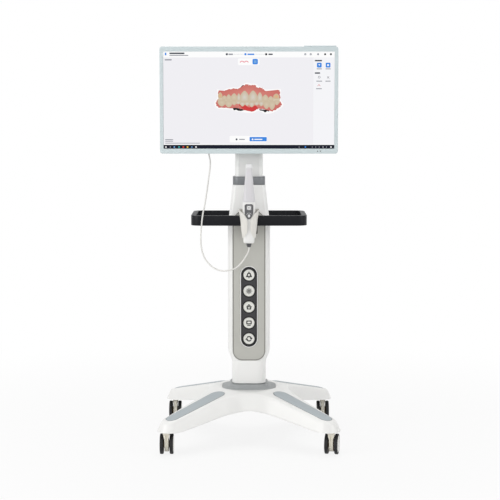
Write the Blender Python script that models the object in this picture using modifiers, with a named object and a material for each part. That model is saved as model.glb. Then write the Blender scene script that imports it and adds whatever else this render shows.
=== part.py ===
# Intraoral scanner on its wheeled stand: a touch-screen monitor on a telescoping
# column, a handle ring with the holder for the scanning handpiece, and a four-legged
# base on twin-wheel castors. Metres, +Z up, the front faces -Y, the floor is z = 0.

import math

import bmesh
import bpy
from mathutils import Matrix, Vector

# Clearances
gap = 0.0003
slide_gap = 0.0007
pin_gap = 0.0003
wheel_gap = 0.0006
key_gap = 0.0004

# Castors
wheel_radius = 0.0315
wheel_width = 0.0134
wheel_boss = 0.0029
wheel_boss_radius = 0.0125
wheel_facets = 24
hub_cap_radius = 0.0252
axle_radius = 0.003
fin_width = 0.013
fin_radius = 0.0235
fork_shoulder_width = 0.0184
fork_shoulder_depth = 0.024
fork_shoulder_high = 0.0600
fork_shoulder_low = 0.0465
fork_head_width = 0.022
fork_head_length = 0.034
fork_head_thickness = 0.0058
castor_height = 0.0715
castor_trail = 0.014
castor_stem_radius = 0.0055
castor_stem_length = 0.012
castor_past_tip = 0.0156
front_right_castor_turn = math.radians(-11)

# Base cover: four legs along the diagonals
leg_tip_reach = 0.338
leg_tip_radius = 0.040
notch_reach = 0.140
notch_radius = 0.140
skirt_clearance = 0.001
skirt_rise = 0.0375
skirt_rise_margin = 0.012
deck_height = 0.164
deck_reach = 0.105
leg_end_height = 0.0356
cover_wall = 0.0045
rim_wall = 0.0035

# Inserts in the base cover
insert_thickness = 0.0029
insert_recess = 0.0026
leg_insert_margin = 0.0205
leg_insert_widening = 0.0022
leg_insert_start = 0.150
leg_insert_end_margin = 0.010
center_insert_width = 0.170
center_insert_depth = 0.146
center_insert_corner = 0.052
boss_height = 0.0135
neck_corner = 0.031
neck_bore_corner = 0.022

# Frame inside the base
hub_side = 0.114
hub_bottom_drop = 0.036
arm_width = 0.028
arm_thickness = 0.012
arm_drop = 0.009
arm_start = 0.072
arm_short_of_stem = 0.006
socket_radius = 0.012
socket_height = 0.0135

# Lower column and its front panel
column_width = 0.133
column_depth = 0.110
column_corner = 0.026
column_lift = 0.017
column_height = 0.5217
foot_width = 0.107
foot_height = 0.064
taper_height = 0.046
panel_width = 0.105
panel_corner = 0.030
panel_thickness = 0.003
panel_recess = 0.0035
panel_bottom_lift = 0.074
panel_shoulder_drop = 0.0077
panel_arch = 0.042

# Key strip
strip_width = 0.048
strip_length = 0.252
strip_thickness = 0.0055
strip_lift = 0.045
key_count = 5
key_radius = 0.018
key_pitch = 0.0507
key_thickness = 0.0038
key_travel = 0.0015
key_proud = 0.0010

# Cowl and collar
cowl_height = 0.1067
cowl_bottom_width = 0.1285
cowl_bottom_depth = 0.122
cowl_top_width = 0.105
cowl_top_depth = 0.088
cowl_wall = 0.003
cowl_corner = 0.020
cowl_notch_gap = 0.0008
arch_edge = 0.0015
collar_height = 0.026
collar_width = 0.102
collar_depth = 0.080
collar_corner = 0.022

# Sliding upper column
mast_width = 0.087
mast_depth = 0.064
mast_corner = 0.016
mast_exposed = 0.184
mast_inside = 0.236
mast_well_spare = 0.056
face_width = 0.058
face_thickness = 0.0015

# Handle ring
handle_width = 0.359
handle_depth = 0.250
handle_corner = 0.032
handle_bar = 0.0155
handle_height = 0.031
handle_drop = 0.0147
handle_edge = 0.0025
arm_block_width = 0.040
arm_block_height = 0.022

# Monitor
screen_width = 0.527
screen_height = 0.2965
bezel_side = 0.011
bezel_end = 0.0155
bezel_thickness = 0.012
bezel_corner = 0.008
screen_recess = 0.0007
screen_thickness = 0.005
back_thickness = 0.018
bulge_width = 0.360
bulge_height = 0.220
bulge_depth = 0.011
bulge_corner = 0.022
top_strip_length = 0.099
top_strip_height = 0.0025
top_strip_depth = 0.009
top_strip_inset = 0.0065

# Tilt joint behind the monitor
hinge_rise = 0.0528
knuckle_reach = 0.0502
knuckle_radius = 0.0125
knuckle_length = 0.0384
tilt_pin_radius = 0.004
flange_side = 0.060
flange_thickness = 0.004
cheek_thickness = 0.0065
cheek_depth = 0.026
bracket_base = 0.009
mount_plate_side = 0.120
mount_plate_thickness = 0.003

# Handpiece and holder
handpiece_setback = 0.025
holder_width = 0.064
holder_depth = 0.048
holder_height = 0.0875
holder_foot_width = 0.040
holder_foot_depth = 0.0385
holder_wall = 0.0022
holder_rise = 0.022
notch_width = 0.060
notch_drop = 0.0365
slot_width = 0.010
boss_width = 0.028
boss_above_handle = 0.003
holder_boss_height = 0.054
clamp_width = 0.045
clamp_height = 0.0250
clamp_depth = 0.0250
clamp_shift = 0.0025
body_length = 0.1235
body_width = 0.040
body_depth = 0.0368
body_foot_width = 0.034
body_foot_depth = 0.032
body_below_holder = 0.0165
nose_length = 0.044
tip_length = 0.117
tip_base_width = 0.0372
tip_base_depth = 0.0340
tip_end_width = 0.0206
tip_end_depth = 0.0172
tip_wall = 0.0022
window_width = 0.0125
window_height = 0.0175
window_thickness = 0.0008
pad_width = 0.0255
pad_length = 0.0452
pad_thickness = 0.0024
pad_proud = 0.0007
main_button_side = 0.0154
small_button_width = 0.0075
button_thickness = 0.0018
button_travel = 0.0008
gland_radius = 0.0080
gland_length = 0.012

# Cable and what holds its spare length
cord_diameter = 0.0046
coil_mean_radius = 0.0255
coil_section = 0.0145
hook_radius = 0.003
hook_reach = 0.083
hook_drop = 0.017
hook_setback = 0.005
plug_length = 0.026
plug_width = 0.0125
plug_height = 0.0075
port_offset = 0.085
port_drop = 0.013
port_width = 0.020
port_height = 0.013
port_depth = 0.004
inlet_width = 0.030
inlet_height = 0.023
inlet_depth = 0.011
inlet_pocket = 0.009
inlet_wall = 0.004
inlet_offset = 0.105
inlet_lift = 0.030

# Heights that follow from the sizes above
axle_height = wheel_radius * math.cos(math.pi / wheel_facets)
skirt_bottom = castor_height + skirt_clearance
column_bottom = deck_height + column_lift
column_top = column_bottom + column_height
cowl_bottom = column_top + gap
cowl_top = cowl_bottom + cowl_height
collar_top = cowl_top + gap + collar_height
mast_top = collar_top + mast_exposed
mast_bottom = collar_top - mast_inside
hinge_height = mast_top + hinge_rise
panel_bottom = column_bottom + panel_bottom_lift
panel_shoulder = column_top - panel_shoulder_drop
strip_bottom = panel_bottom + strip_lift
strip_center = strip_bottom + strip_length / 2
handle_bottom = column_top - handle_drop
handle_top = handle_bottom + handle_height
holder_top = handle_top + holder_rise
holder_bottom = holder_top - holder_height
body_bottom = holder_bottom - body_below_holder
body_top = body_bottom + body_length
tip_bottom = body_top + gap
tip_top = tip_bottom + tip_length

# Depths that follow from the sizes above
column_front = -column_depth / 2
panel_floor = column_front + panel_recess
panel_back = panel_floor - gap
panel_front = panel_back - panel_thickness
strip_front = panel_back - strip_thickness
handle_front = -handle_depth / 2
handpiece_y = handle_front - handpiece_setback
flange_front = -knuckle_reach
plate_back = flange_front - gap
bulge_back = plate_back - mount_plate_thickness - gap
edge_back = bulge_back - bulge_depth
back_front = edge_back - back_thickness
bezel_back = back_front - gap
bezel_front = bezel_back - bezel_thickness
monitor_width = screen_width + 2 * bezel_side
monitor_height = screen_height + 2 * bezel_end
castor_place = (leg_tip_reach + castor_past_tip) / math.sqrt(2)
leg_slope = (deck_height - skirt_bottom - leg_end_height) / (leg_tip_reach - deck_reach)
leg_tilt = math.atan(leg_slope)

# Colour, roughness and metallic value of each finish
finishes = {
    "white_plastic": ((0.86, 0.86, 0.84), 0.35, 0.0),
    "white_paint": ((0.86, 0.86, 0.84), 0.35, 0.0),
    "grey_blue_plastic": ((0.45, 0.50, 0.54), 0.45, 0.0),
    "panel_grey": ((0.56, 0.56, 0.52), 0.45, 0.0),
    "face_grey": ((0.66, 0.66, 0.64), 0.45, 0.0),
    "strip_black": ((0.05, 0.05, 0.055), 0.30, 0.0),
    "key_grey": ((0.68, 0.68, 0.64), 0.40, 0.0),
    "collar_metal": ((0.22, 0.23, 0.25), 0.35, 0.8),
    "handle_black": ((0.012, 0.012, 0.015), 0.40, 0.0),
    "holder_beige": ((0.70, 0.70, 0.66), 0.45, 0.0),
    "dark_rubber": ((0.03, 0.03, 0.03), 0.80, 0.0),
    "tip_lavender": ((0.66, 0.64, 0.68), 0.35, 0.0),
    "pad_grey": ((0.16, 0.16, 0.17), 0.45, 0.0),
    "button_white": ((0.80, 0.80, 0.80), 0.35, 0.0),
    "bezel_blue_grey": ((0.62, 0.69, 0.71), 0.40, 0.0),
    "screen_glass": ((0.85, 0.84, 0.88), 0.12, 0.0),
    "frame_steel": ((0.10, 0.10, 0.11), 0.55, 0.6),
    "pin_steel": ((0.55, 0.55, 0.57), 0.30, 1.0),
    "fork_cream": ((0.66, 0.61, 0.50), 0.45, 0.0),
    "wheel_black": ((0.02, 0.02, 0.02), 0.60, 0.0),
    "cable_grey": ((0.68, 0.67, 0.66), 0.50, 0.0),
    "mirror_glass": ((0.30, 0.32, 0.36), 0.05, 0.6),
}

for leftover in list(bpy.data.objects):
    bpy.data.objects.remove(leftover, do_unlink=True)
parts = bpy.data.collections.new("intraoral_scanner_stand")
cutters = bpy.data.collections.new("cutters")
bpy.context.scene.collection.children.link(parts)
bpy.context.scene.collection.children.link(cutters)


def finish_material(name):
    if name in bpy.data.materials:
        return bpy.data.materials[name]
    color, roughness, metallic = finishes[name]
    material = bpy.data.materials.new(name)
    material.use_nodes = True
    shader = material.node_tree.nodes["Principled BSDF"]
    shader.inputs["Base Color"].default_value = (*color, 1.0)
    shader.inputs["Roughness"].default_value = roughness
    shader.inputs["Metallic"].default_value = metallic
    return material


def add_piece(name, mesh, finish, frame=None):
    # A visible sub-part, shaded smooth with its creases kept sharp
    mesh.materials.clear()
    mesh.materials.append(finish_material(finish))
    mesh.shade_smooth()
    mesh.set_sharp_from_angle(angle=math.radians(35))
    piece = bpy.data.objects.new(name, mesh)
    piece.matrix_world = frame or Matrix.Identity(4)
    parts.objects.link(piece)
    return piece


def add_helper(name, mesh, frame=None):
    # A cutter or a shape to join: left out of the render
    helper = bpy.data.objects.new(name, mesh)
    helper.matrix_world = frame or Matrix.Identity(4)
    helper.hide_render = True
    helper.display_type = "WIRE"
    cutters.objects.link(helper)
    return helper


def boolean(piece, helper, operation):
    modifier = piece.modifiers.new(f"{operation}_{helper.name}", "BOOLEAN")
    modifier.operation = operation
    modifier.object = helper
    modifier.solver = "EXACT"


def cut(piece, helper):
    boolean(piece, helper, "DIFFERENCE")


def join(piece, helper):
    boolean(piece, helper, "UNION")


def round_edges(piece, width, segments=2, angle=40):
    modifier = piece.modifiers.new("round_edges", "BEVEL")
    modifier.width = width
    modifier.segments = segments
    modifier.limit_method = "ANGLE"
    modifier.angle_limit = math.radians(angle)


def mesh_from(bm):
    bmesh.ops.recalc_face_normals(bm, faces=bm.faces[:])
    mesh = bpy.data.meshes.new("shape")
    bm.to_mesh(mesh)
    bm.free()
    return mesh


def baked(piece):
    # The piece's mesh with its modifiers applied; the piece itself is removed
    bpy.context.view_layer.update()
    graph = bpy.context.evaluated_depsgraph_get()
    mesh = bpy.data.meshes.new_from_object(piece.evaluated_get(graph))
    bpy.data.objects.remove(piece, do_unlink=True)
    bm = bmesh.new()
    bm.from_mesh(mesh)
    bmesh.ops.remove_doubles(bm, verts=bm.verts[:], dist=0.00001)
    bm.to_mesh(mesh)
    bm.free()
    return mesh


def arc(center_x, center_y, radius, start, end, steps):
    # Points on an arc, from one angle to another in degrees, both ends included
    points = []
    for step in range(steps + 1):
        angle = math.radians(start + (end - start) * step / steps)
        points.append((center_x + radius * math.cos(angle), center_y + radius * math.sin(angle)))
    return points


def circle(radius, steps, center_x=0.0, center_y=0.0):
    return arc(center_x, center_y, radius, 0, 360 - 360 / steps, steps - 1)


def rounded_rectangle(width, height, corner, steps=4):
    x = width / 2 - corner
    y = height / 2 - corner
    points = []
    for quarter, (cx, cy) in enumerate(((x, y), (-x, y), (-x, -y), (x, -y))):
        points += arc(cx, cy, corner, 90 * quarter, 90 * quarter + 90, steps)
    return points


def tapered_capsule(start, start_radius, end, end_radius, steps):
    # Two circles on the X axis with their common tangents
    lean = math.degrees(math.asin((start_radius - end_radius) / (end - start)))
    points = arc(end, 0, end_radius, lean - 90, 90 - lean, steps)
    return points + arc(start, 0, start_radius, 90 - lean, 270 + lean, steps)


def upright(y, z=0.0, x=0.0):
    # Outline in X and Z, thickness towards the front
    return Matrix(((1, 0, 0, x), (0, 0, -1, y), (0, 1, 0, z), (0, 0, 0, 1)))


def sideways(x, y=0.0, z=0.0):
    # Outline in Y and Z, thickness along +X
    return Matrix(((0, 0, 1, x), (1, 0, 0, y), (0, 1, 0, z), (0, 0, 0, 1)))


def level(z, x=0.0, y=0.0):
    # Outline in X and Y, thickness upwards
    return Matrix.Translation((x, y, z))


def slab(loops, thickness):
    # A flat outline, with holes, from local z = 0 up to the thickness
    curve = bpy.data.curves.new("outline", "CURVE")
    curve.dimensions = "2D"
    curve.fill_mode = "BOTH"
    curve.extrude = thickness / 2
    for loop in loops:
        spline = curve.splines.new("POLY")
        spline.points.add(len(loop) - 1)
        for point, (x, y) in zip(spline.points, loop):
            point.co = (x, y, 0, 1)
        spline.use_cyclic_u = True
    holder_object = bpy.data.objects.new("outline", curve)
    bpy.context.scene.collection.objects.link(holder_object)
    mesh = baked(holder_object)
    bpy.data.curves.remove(curve)
    bm = bmesh.new()
    bm.from_mesh(mesh)
    bpy.data.meshes.remove(mesh)
    bmesh.ops.translate(bm, verts=bm.verts[:], vec=(0, 0, thickness / 2))
    bmesh.ops.dissolve_limit(
        bm, angle_limit=math.radians(0.5), verts=bm.verts[:], edges=bm.edges[:]
    )
    return mesh_from(bm)


def block(size_x, size_y, size_z):
    # A box centred on its own origin
    bm = bmesh.new()
    bmesh.ops.create_cube(bm, size=1.0)
    bmesh.ops.scale(bm, vec=(size_x, size_y, size_z), verts=bm.verts[:])
    return mesh_from(bm)


def rod(radius, length, facets=20):
    # A cylinder along local Z, from 0 to its length
    bm = bmesh.new()
    bmesh.ops.create_cone(
        bm, cap_ends=True, segments=facets, radius1=radius, radius2=radius, depth=length
    )
    bmesh.ops.translate(bm, verts=bm.verts[:], vec=(0, 0, length / 2))
    return mesh_from(bm)


def loft(rings, tube=False):
    # Skin through rings of equal count: capped at both ends, or closed into a tube wall
    bm = bmesh.new()
    rows = [[bm.verts.new(point) for point in ring] for ring in rings]
    pairs = list(zip(rows, rows[1:]))
    if tube:
        pairs.append((rows[-1], rows[0]))
    for lower, upper in pairs:
        count = len(lower)
        for i in range(count):
            j = (i + 1) % count
            bm.faces.new((lower[i], lower[j], upper[j], upper[i]))
    if not tube:
        bm.faces.new(rows[0])
        bm.faces.new(rows[-1])
    return mesh_from(bm)


def level_ring(width, depth, corner, z, y=0.0, steps=4):
    return [Vector((px, py + y, z)) for px, py in rounded_rectangle(width, depth, corner, steps)]


def turned(profile, facets):
    # A profile of (radius, height) points, from top to bottom, turned about Z
    mesh = bpy.data.meshes.new("profile")
    edges = [(i, i + 1) for i in range(len(profile) - 1)]
    mesh.from_pydata([(radius, 0, height) for radius, height in profile], edges, [])
    piece = bpy.data.objects.new("profile", mesh)
    bpy.context.scene.collection.objects.link(piece)
    screw = piece.modifiers.new("turn", "SCREW")
    screw.steps = facets
    screw.render_steps = facets
    screw.use_merge_vertices = True
    screw.merge_threshold = 0.00001
    return baked(piece)


def tube(points, radius, resolution=2):
    # A round tube through the given points, with filled ends
    curve = bpy.data.curves.new("route", "CURVE")
    curve.dimensions = "3D"
    curve.bevel_depth = radius
    curve.bevel_resolution = resolution
    curve.use_fill_caps = True
    spline = curve.splines.new("POLY")
    spline.points.add(len(points) - 1)
    for point, place in zip(spline.points, points):
        point.co = (*place, 1)
    route = bpy.data.objects.new("route", curve)
    bpy.context.scene.collection.objects.link(route)
    mesh = baked(route)
    bpy.data.curves.remove(curve)
    bm = bmesh.new()
    bm.from_mesh(mesh)
    bpy.data.meshes.remove(mesh)
    return mesh_from(bm)


def smooth_route(points, spacing):
    # Points about one spacing apart on a smooth curve through the chosen points
    path = [Vector(point) for point in points]
    path = [2 * path[0] - path[1], *path, 2 * path[-1] - path[-2]]
    route = [path[1]]
    for before, start, end, after in zip(path, path[1:], path[2:], path[3:]):
        steps = max(1, round((end - start).length / spacing))
        for step in range(1, steps + 1):
            t = step / steps
            bend = 2 * before - 5 * start + 4 * end - after
            twist = 3 * start - before - 3 * end + after
            route.append(
                0.5 * (2 * start + (end - before) * t + bend * t * t + twist * t ** 3)
            )
    return route


# Plan of the base: one leg along the local U axis, repeated on the four diagonals


def leg_edge(inset):
    # Half of a leg's edge, from its tip to the middle of the notch beside it
    tip = leg_tip_radius - inset
    notch = notch_radius + inset
    center = (notch_reach + notch_radius) / math.sqrt(2)
    distance = math.hypot(center - leg_tip_reach, center)
    bearing = math.atan2(center, center - leg_tip_reach)
    normal = bearing - math.acos((tip + notch) / distance)
    degrees = math.degrees(normal)
    points = arc(leg_tip_reach, 0, tip, 0, degrees, 5)
    start = Vector(points[-1])
    notch_arc = arc(center, center, notch, 180 + degrees, 225, 5)
    end = Vector(notch_arc[0])
    points += [tuple(start.lerp(end, step / 3)) for step in (1, 2)]
    return points + notch_arc


def top_height(x, y):
    along = (abs(x) + abs(y)) / math.sqrt(2)
    return deck_height - leg_slope * max(0.0, along - deck_reach)


def skirt_height(x, y):
    along = (abs(x) + abs(y)) / math.sqrt(2)
    start = leg_tip_reach - skirt_rise_margin
    share = (start - along) / (start - deck_reach)
    return skirt_bottom + skirt_rise * min(1.0, max(0.0, share))


def cross_ring(inset, share, drop=0.0):
    # A ring round the four legs, at a share of the height from skirt to top
    half = leg_edge(inset)
    one_leg = [(u, -v) for u, v in reversed(half)] + half[1:-1]
    ring = []
    for quarter in range(4):
        turn = Matrix.Rotation(math.radians(45 + 90 * quarter), 2)
        for point in one_leg:
            x, y = turn @ Vector(point)
            low = skirt_height(x, y)
            ring.append((x, y, low + share * (top_height(x, y) - drop - low)))
    return ring


def fill_cross(bm, row):
    # Rungs across each leg, and one square between the four notches
    per_leg = len(row) // 4
    half = per_leg // 2
    for quarter in range(4):
        first = quarter * per_leg
        for i in range(half):
            near = row[first + i]
            far = row[(first + per_leg - i) % len(row)]
            near_next = row[first + i + 1]
            far_next = row[first + per_leg - i - 1]
            if near_next is far_next:
                bm.faces.new((near, near_next, far))
            else:
                bm.faces.new((near, near_next, far_next, far))
    bm.faces.new([row[quarter * per_leg] for quarter in range(4)])


def base_cover():
    # Moulded shell: drafted skirt, rolled shoulder, sloping legs, open underneath
    outside = (
        (0.0, 0.0),
        (0.004, 0.42),
        (0.0065, 0.70),
        (0.0100, 0.88),
        (0.0150, 0.97),
        (0.0210, 1.0),
    )
    inside = ((rim_wall, 0.0), (0.0100, 0.62), (0.0220, 1.0))
    bm = bmesh.new()
    rows = [[bm.verts.new(p) for p in cross_ring(i, s)] for i, s in reversed(outside)]
    rows += [[bm.verts.new(p) for p in cross_ring(i, s, cover_wall)] for i, s in inside]
    for lower, upper in zip(rows, rows[1:]):
        for i in range(len(lower)):
            j = (i + 1) % len(lower)
            bm.faces.new((lower[i], lower[j], upper[j], upper[i]))
    fill_cross(bm, rows[0])
    fill_cross(bm, rows[-1])
    cover = add_piece("base_cover", mesh_from(bm), "white_plastic")
    pocket = slab([center_outline(gap)], insert_recess * 2)
    cut(cover, add_helper("center_pocket", pocket, level(deck_height - insert_recess)))
    for quarter in range(4):
        pocket = slab([leg_insert_outline(gap)], insert_recess * 4)
        frame = leg_frame(quarter, -insert_recess)
        cut(cover, add_helper(f"leg_pocket_{quarter + 1}", pocket, frame))


def leg_frame(quarter, lift):
    # Frame on the sloping top of one leg, with X down the leg
    turn = Matrix.Rotation(math.radians(45 + 90 * quarter), 4, "Z")
    start = Matrix.Translation((deck_reach, 0, deck_height))
    tilt = Matrix.Rotation(leg_tilt, 4, "Y")
    return turn @ start @ tilt @ Matrix.Translation((0, 0, lift))


def leg_insert_outline(grow):
    # Strip with round ends, a little wider near the column
    stretch = 1 / math.cos(leg_tilt)
    start = (leg_insert_start - deck_reach) * stretch
    end = (leg_tip_reach - leg_insert_end_margin - deck_reach) * stretch
    end_radius = leg_tip_radius - leg_insert_margin
    start_radius = end_radius + leg_insert_widening
    return tapered_capsule(start, start_radius + grow, end, end_radius + grow, 8)


def center_outline(grow):
    width = center_insert_width + 2 * grow
    depth = center_insert_depth + 2 * grow
    return rounded_rectangle(width, depth, center_insert_corner + grow, 6)


def base_inserts():
    outline = leg_insert_outline(0)
    mesh = slab([outline], insert_thickness)
    names = ("rear_right", "rear_left", "front_left", "front_right")
    for quarter, name in enumerate(names):
        frame = leg_frame(quarter, gap - insert_recess)
        strip = add_piece(f"leg_insert_{name}", mesh, "grey_blue_plastic", frame)
        round_edges(strip, 0.0008, 1)
    bottom = deck_height - insert_recess + gap
    top = bottom + insert_thickness
    boss = deck_height + boss_height
    neck = column_bottom - gap
    sizes = (
        (center_insert_width, center_insert_depth, center_insert_corner, bottom),
        (center_insert_width, center_insert_depth, center_insert_corner, top - 0.0006),
        (center_insert_width - 0.002, center_insert_depth - 0.002, center_insert_corner - 0.001, top),
        (foot_width + 0.030, column_depth + 0.016, neck_corner + 0.009, top + 0.0012),
        (foot_width + 0.018, column_depth + 0.011, neck_corner + 0.005, top + 0.006),
        (foot_width + 0.012, column_depth + 0.008, neck_corner + 0.001, boss - 0.001),
        (foot_width + 0.009, column_depth + 0.005, neck_corner, boss),
        (foot_width - 0.009, column_depth - 0.009, neck_bore_corner, boss),
        (foot_width - 0.009, column_depth - 0.009, neck_bore_corner, neck),
    )
    rings = [level_ring(w, d, c, z, steps=6) for w, d, c, z in sizes]
    add_piece("center_insert", loft(rings), "grey_blue_plastic")


def base_frame():
    # Steel hub and four sloping arms, each with a bored socket for a castor stem
    hub_top = deck_height - cover_wall - gap
    hub_bottom = deck_height - hub_bottom_drop
    hub = block(hub_side, hub_side, hub_top - hub_bottom)
    frame = add_piece("base_frame", hub, "frame_steel", level((hub_top + hub_bottom) / 2))
    arm_end = leg_tip_reach + castor_past_tip - arm_short_of_stem
    arm_length = (arm_end - arm_start) / math.cos(leg_tilt)
    arm_middle = ((arm_end + arm_start) / 2 - deck_reach) / math.cos(leg_tilt)
    arm = block(arm_length, arm_width, arm_thickness)
    bore_radius = castor_stem_radius + pin_gap
    for quarter in range(4):
        place = leg_frame(quarter, -cover_wall - arm_drop - arm_thickness / 2)
        shift = Matrix.Translation((arm_middle, 0, 0))
        join(frame, add_helper(f"frame_arm_{quarter + 1}", arm, place @ shift))
    for quarter, (x, y) in enumerate(castor_places()):
        socket = rod(socket_radius, socket_height)
        helper = add_helper(f"socket_{quarter + 1}", socket, level(skirt_bottom, x, y))
        join(frame, helper)
    for quarter, (x, y) in enumerate(castor_places()):
        bore = rod(bore_radius, castor_stem_length + gap, 16)
        helper = add_helper(f"socket_bore_{quarter + 1}", bore, level(castor_height, x, y))
        cut(frame, helper)


def castor_places():
    # Rear right, rear left, front left, front right
    return [(sx * castor_place, sy * castor_place) for sx, sy in ((1, 1), (-1, 1), (-1, -1), (1, -1))]


def castor_fork_mesh():
    # Hooded fin between the wheels with wide shoulders, head under the leg, stem, and the axle
    hood = arc(castor_trail, axle_height, fin_radius, 20, -190, 12)
    outline = [
        (fork_head_length / 2 - 0.002, castor_height - 0.001),
        *hood,
        (-fork_head_length / 2 + 0.004, castor_height - 0.001),
    ]
    fin = slab([outline], fin_width)
    fork = add_piece("fork_shape", fin, "fork_cream", sideways(-fin_width / 2))
    head = slab(
        [rounded_rectangle(fork_head_width, fork_head_length, 0.008, 3)], fork_head_thickness
    )
    join(fork, add_helper("fork_head", head, level(castor_height - fork_head_thickness)))
    half, waist = fork_shoulder_width / 2, fin_width / 2 - 0.001
    shoulder = slab(
        [
            [
                (-waist, fork_shoulder_low),
                (waist, fork_shoulder_low),
                (half, fork_shoulder_high),
                (half, castor_height - 0.002),
                (-half, castor_height - 0.002),
                (-half, fork_shoulder_high),
            ]
        ],
        fork_shoulder_depth,
    )
    join(fork, add_helper("fork_shoulder", shoulder, upright(fork_shoulder_depth / 2, 0)))
    stem = rod(castor_stem_radius, castor_stem_length + 0.001, 16)
    join(fork, add_helper("fork_stem", stem, level(castor_height - 0.001)))
    half_axle = fin_width / 2 + wheel_gap + wheel_width * 0.55
    axle = rod(axle_radius, 2 * half_axle, 12)
    join(fork, add_helper("fork_axle", axle, sideways(-half_axle, castor_trail, axle_height)))
    return baked_in_place(fork)


def baked_in_place(piece):
    place = piece.matrix_world.copy()
    mesh = baked(piece)
    mesh.transform(place)
    return mesh


def castor_wheel_mesh():
    # Tyre with rounded shoulders, a stepped hub cap outside and a blind axle bore
    width = wheel_width
    bore = axle_radius + pin_gap
    depth = width * 0.55 + wheel_gap
    profile = (
        (0.0, width),
        (0.015, width - 0.0006),
        (hub_cap_radius, width - 0.0032),
        (wheel_radius - 0.0022, width - 0.0038),
        (wheel_radius, width - 0.0058),
        (wheel_radius, wheel_boss + 0.0026),
        (wheel_radius - 0.0020, wheel_boss),
        (wheel_boss_radius, wheel_boss),
        (wheel_boss_radius - 0.001, 0.0),
        (bore, 0.0),
        (bore, depth),
        (0.0, depth),
    )
    return turned(profile, wheel_facets)


def castors():
    fork_mesh = castor_fork_mesh()
    wheel_mesh = castor_wheel_mesh()
    half_facet = Matrix.Rotation(math.pi / wheel_facets, 4, "Z")
    outwards = {"right": sideways(fin_width / 2 + wheel_gap), "left": None}
    outwards["left"] = Matrix.Rotation(math.pi, 4, "Z") @ outwards["right"]
    names = ("rear_right", "rear_left", "front_left", "front_right")
    for name, (x, y) in zip(names, castor_places()):
        turn = math.pi if y > 0 else 0.0
        turn += front_right_castor_turn if name == "front_right" else 0.0
        swivel = bpy.data.objects.new(f"{name}_swivel", None)
        swivel.matrix_world = level(0, x, y) @ Matrix.Rotation(turn, 4, "Z")
        parts.objects.link(swivel)
        fork = add_piece(f"castor_fork_{name}", fork_mesh, "fork_cream")
        fork.parent = swivel
        for side, facing in outwards.items():
            wheel = add_piece(f"castor_wheel_{name}_{side}", wheel_mesh, "wheel_black")
            wheel.parent = swivel
            place = Matrix.Translation((0, castor_trail, axle_height))
            wheel.matrix_local = place @ facing @ half_facet


def column_sections():
    # Width from the foot, through the smooth taper, to the full column
    sections = [(foot_width, column_bottom), (foot_width, column_bottom + foot_height)]
    for step in range(1, 6):
        share = step / 6
        blend = share * share * (3 - 2 * share)
        width = foot_width + (column_width - foot_width) * blend
        sections.append((width, column_bottom + foot_height + taper_height * share))
    sections.append((column_width, column_bottom + foot_height + taper_height))
    sections.append((column_width, column_top))
    return sections


def panel_outline(grow):
    # Rounded foot corners, straight sides and an arched top
    half = panel_width / 2 + grow
    low = panel_bottom - grow
    corner = panel_corner + grow
    points = arc(-half + corner, low + corner, corner, 180, 270, 5)
    points += arc(half - corner, low + corner, corner, 270, 360, 5)
    rise = panel_arch + grow
    for step in range(15):
        angle = math.pi * step / 14
        points.append((half * math.cos(angle), panel_shoulder + rise * math.sin(angle)))
    return points


def strip_outline(grow):
    radius = strip_width / 2 + grow
    half = strip_length / 2 - strip_width / 2
    upper = arc(0, strip_center + half, radius, 0, 180, 10)
    return upper + arc(0, strip_center - half, radius, 180, 360, 10)


def key_heights():
    middle = (key_count - 1) / 2
    return [strip_center + key_pitch * (middle - i) for i in range(key_count)]


def lower_column():
    rings = [level_ring(w, column_depth, column_corner, z) for w, z in column_sections()]
    rings[0] = level_ring(foot_width - 0.003, column_depth - 0.003, column_corner, column_bottom)
    rings.insert(1, level_ring(foot_width, column_depth, column_corner, column_bottom + 0.0015))
    column = add_piece("lower_column", loft(rings), "white_paint")
    recess = slab([panel_outline(gap)], panel_recess * 3)
    cut(column, add_helper("panel_recess", recess, upright(panel_floor)))
    well_bottom = mast_bottom - mast_well_spare
    well = slab([mast_outline(slide_gap)], column_top - well_bottom + 0.01)
    cut(column, add_helper("mast_well", well, level(well_bottom)))


def front_panel():
    mesh = slab([panel_outline(0), strip_outline(gap)], panel_thickness)
    add_piece("front_panel", mesh, "panel_grey", upright(panel_back))
    holes = [circle(key_radius + key_gap, 24, 0, z) for z in key_heights()]
    strip = slab([strip_outline(0), *holes], strip_thickness)
    add_piece("key_strip", strip, "strip_black", upright(panel_back))
    key_back = strip_front - key_proud + key_thickness
    mesh = slab([circle(key_radius, 24)], key_thickness)
    for number, z in enumerate(key_heights(), 1):
        key = add_piece(f"panel_key_{number}", mesh, "key_grey", upright(key_back, z))
        round_edges(key, 0.0008, 1)


def mast_outline(grow):
    return rounded_rectangle(
        mast_width + 2 * grow, mast_depth + 2 * grow, mast_corner + grow
    )


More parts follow.
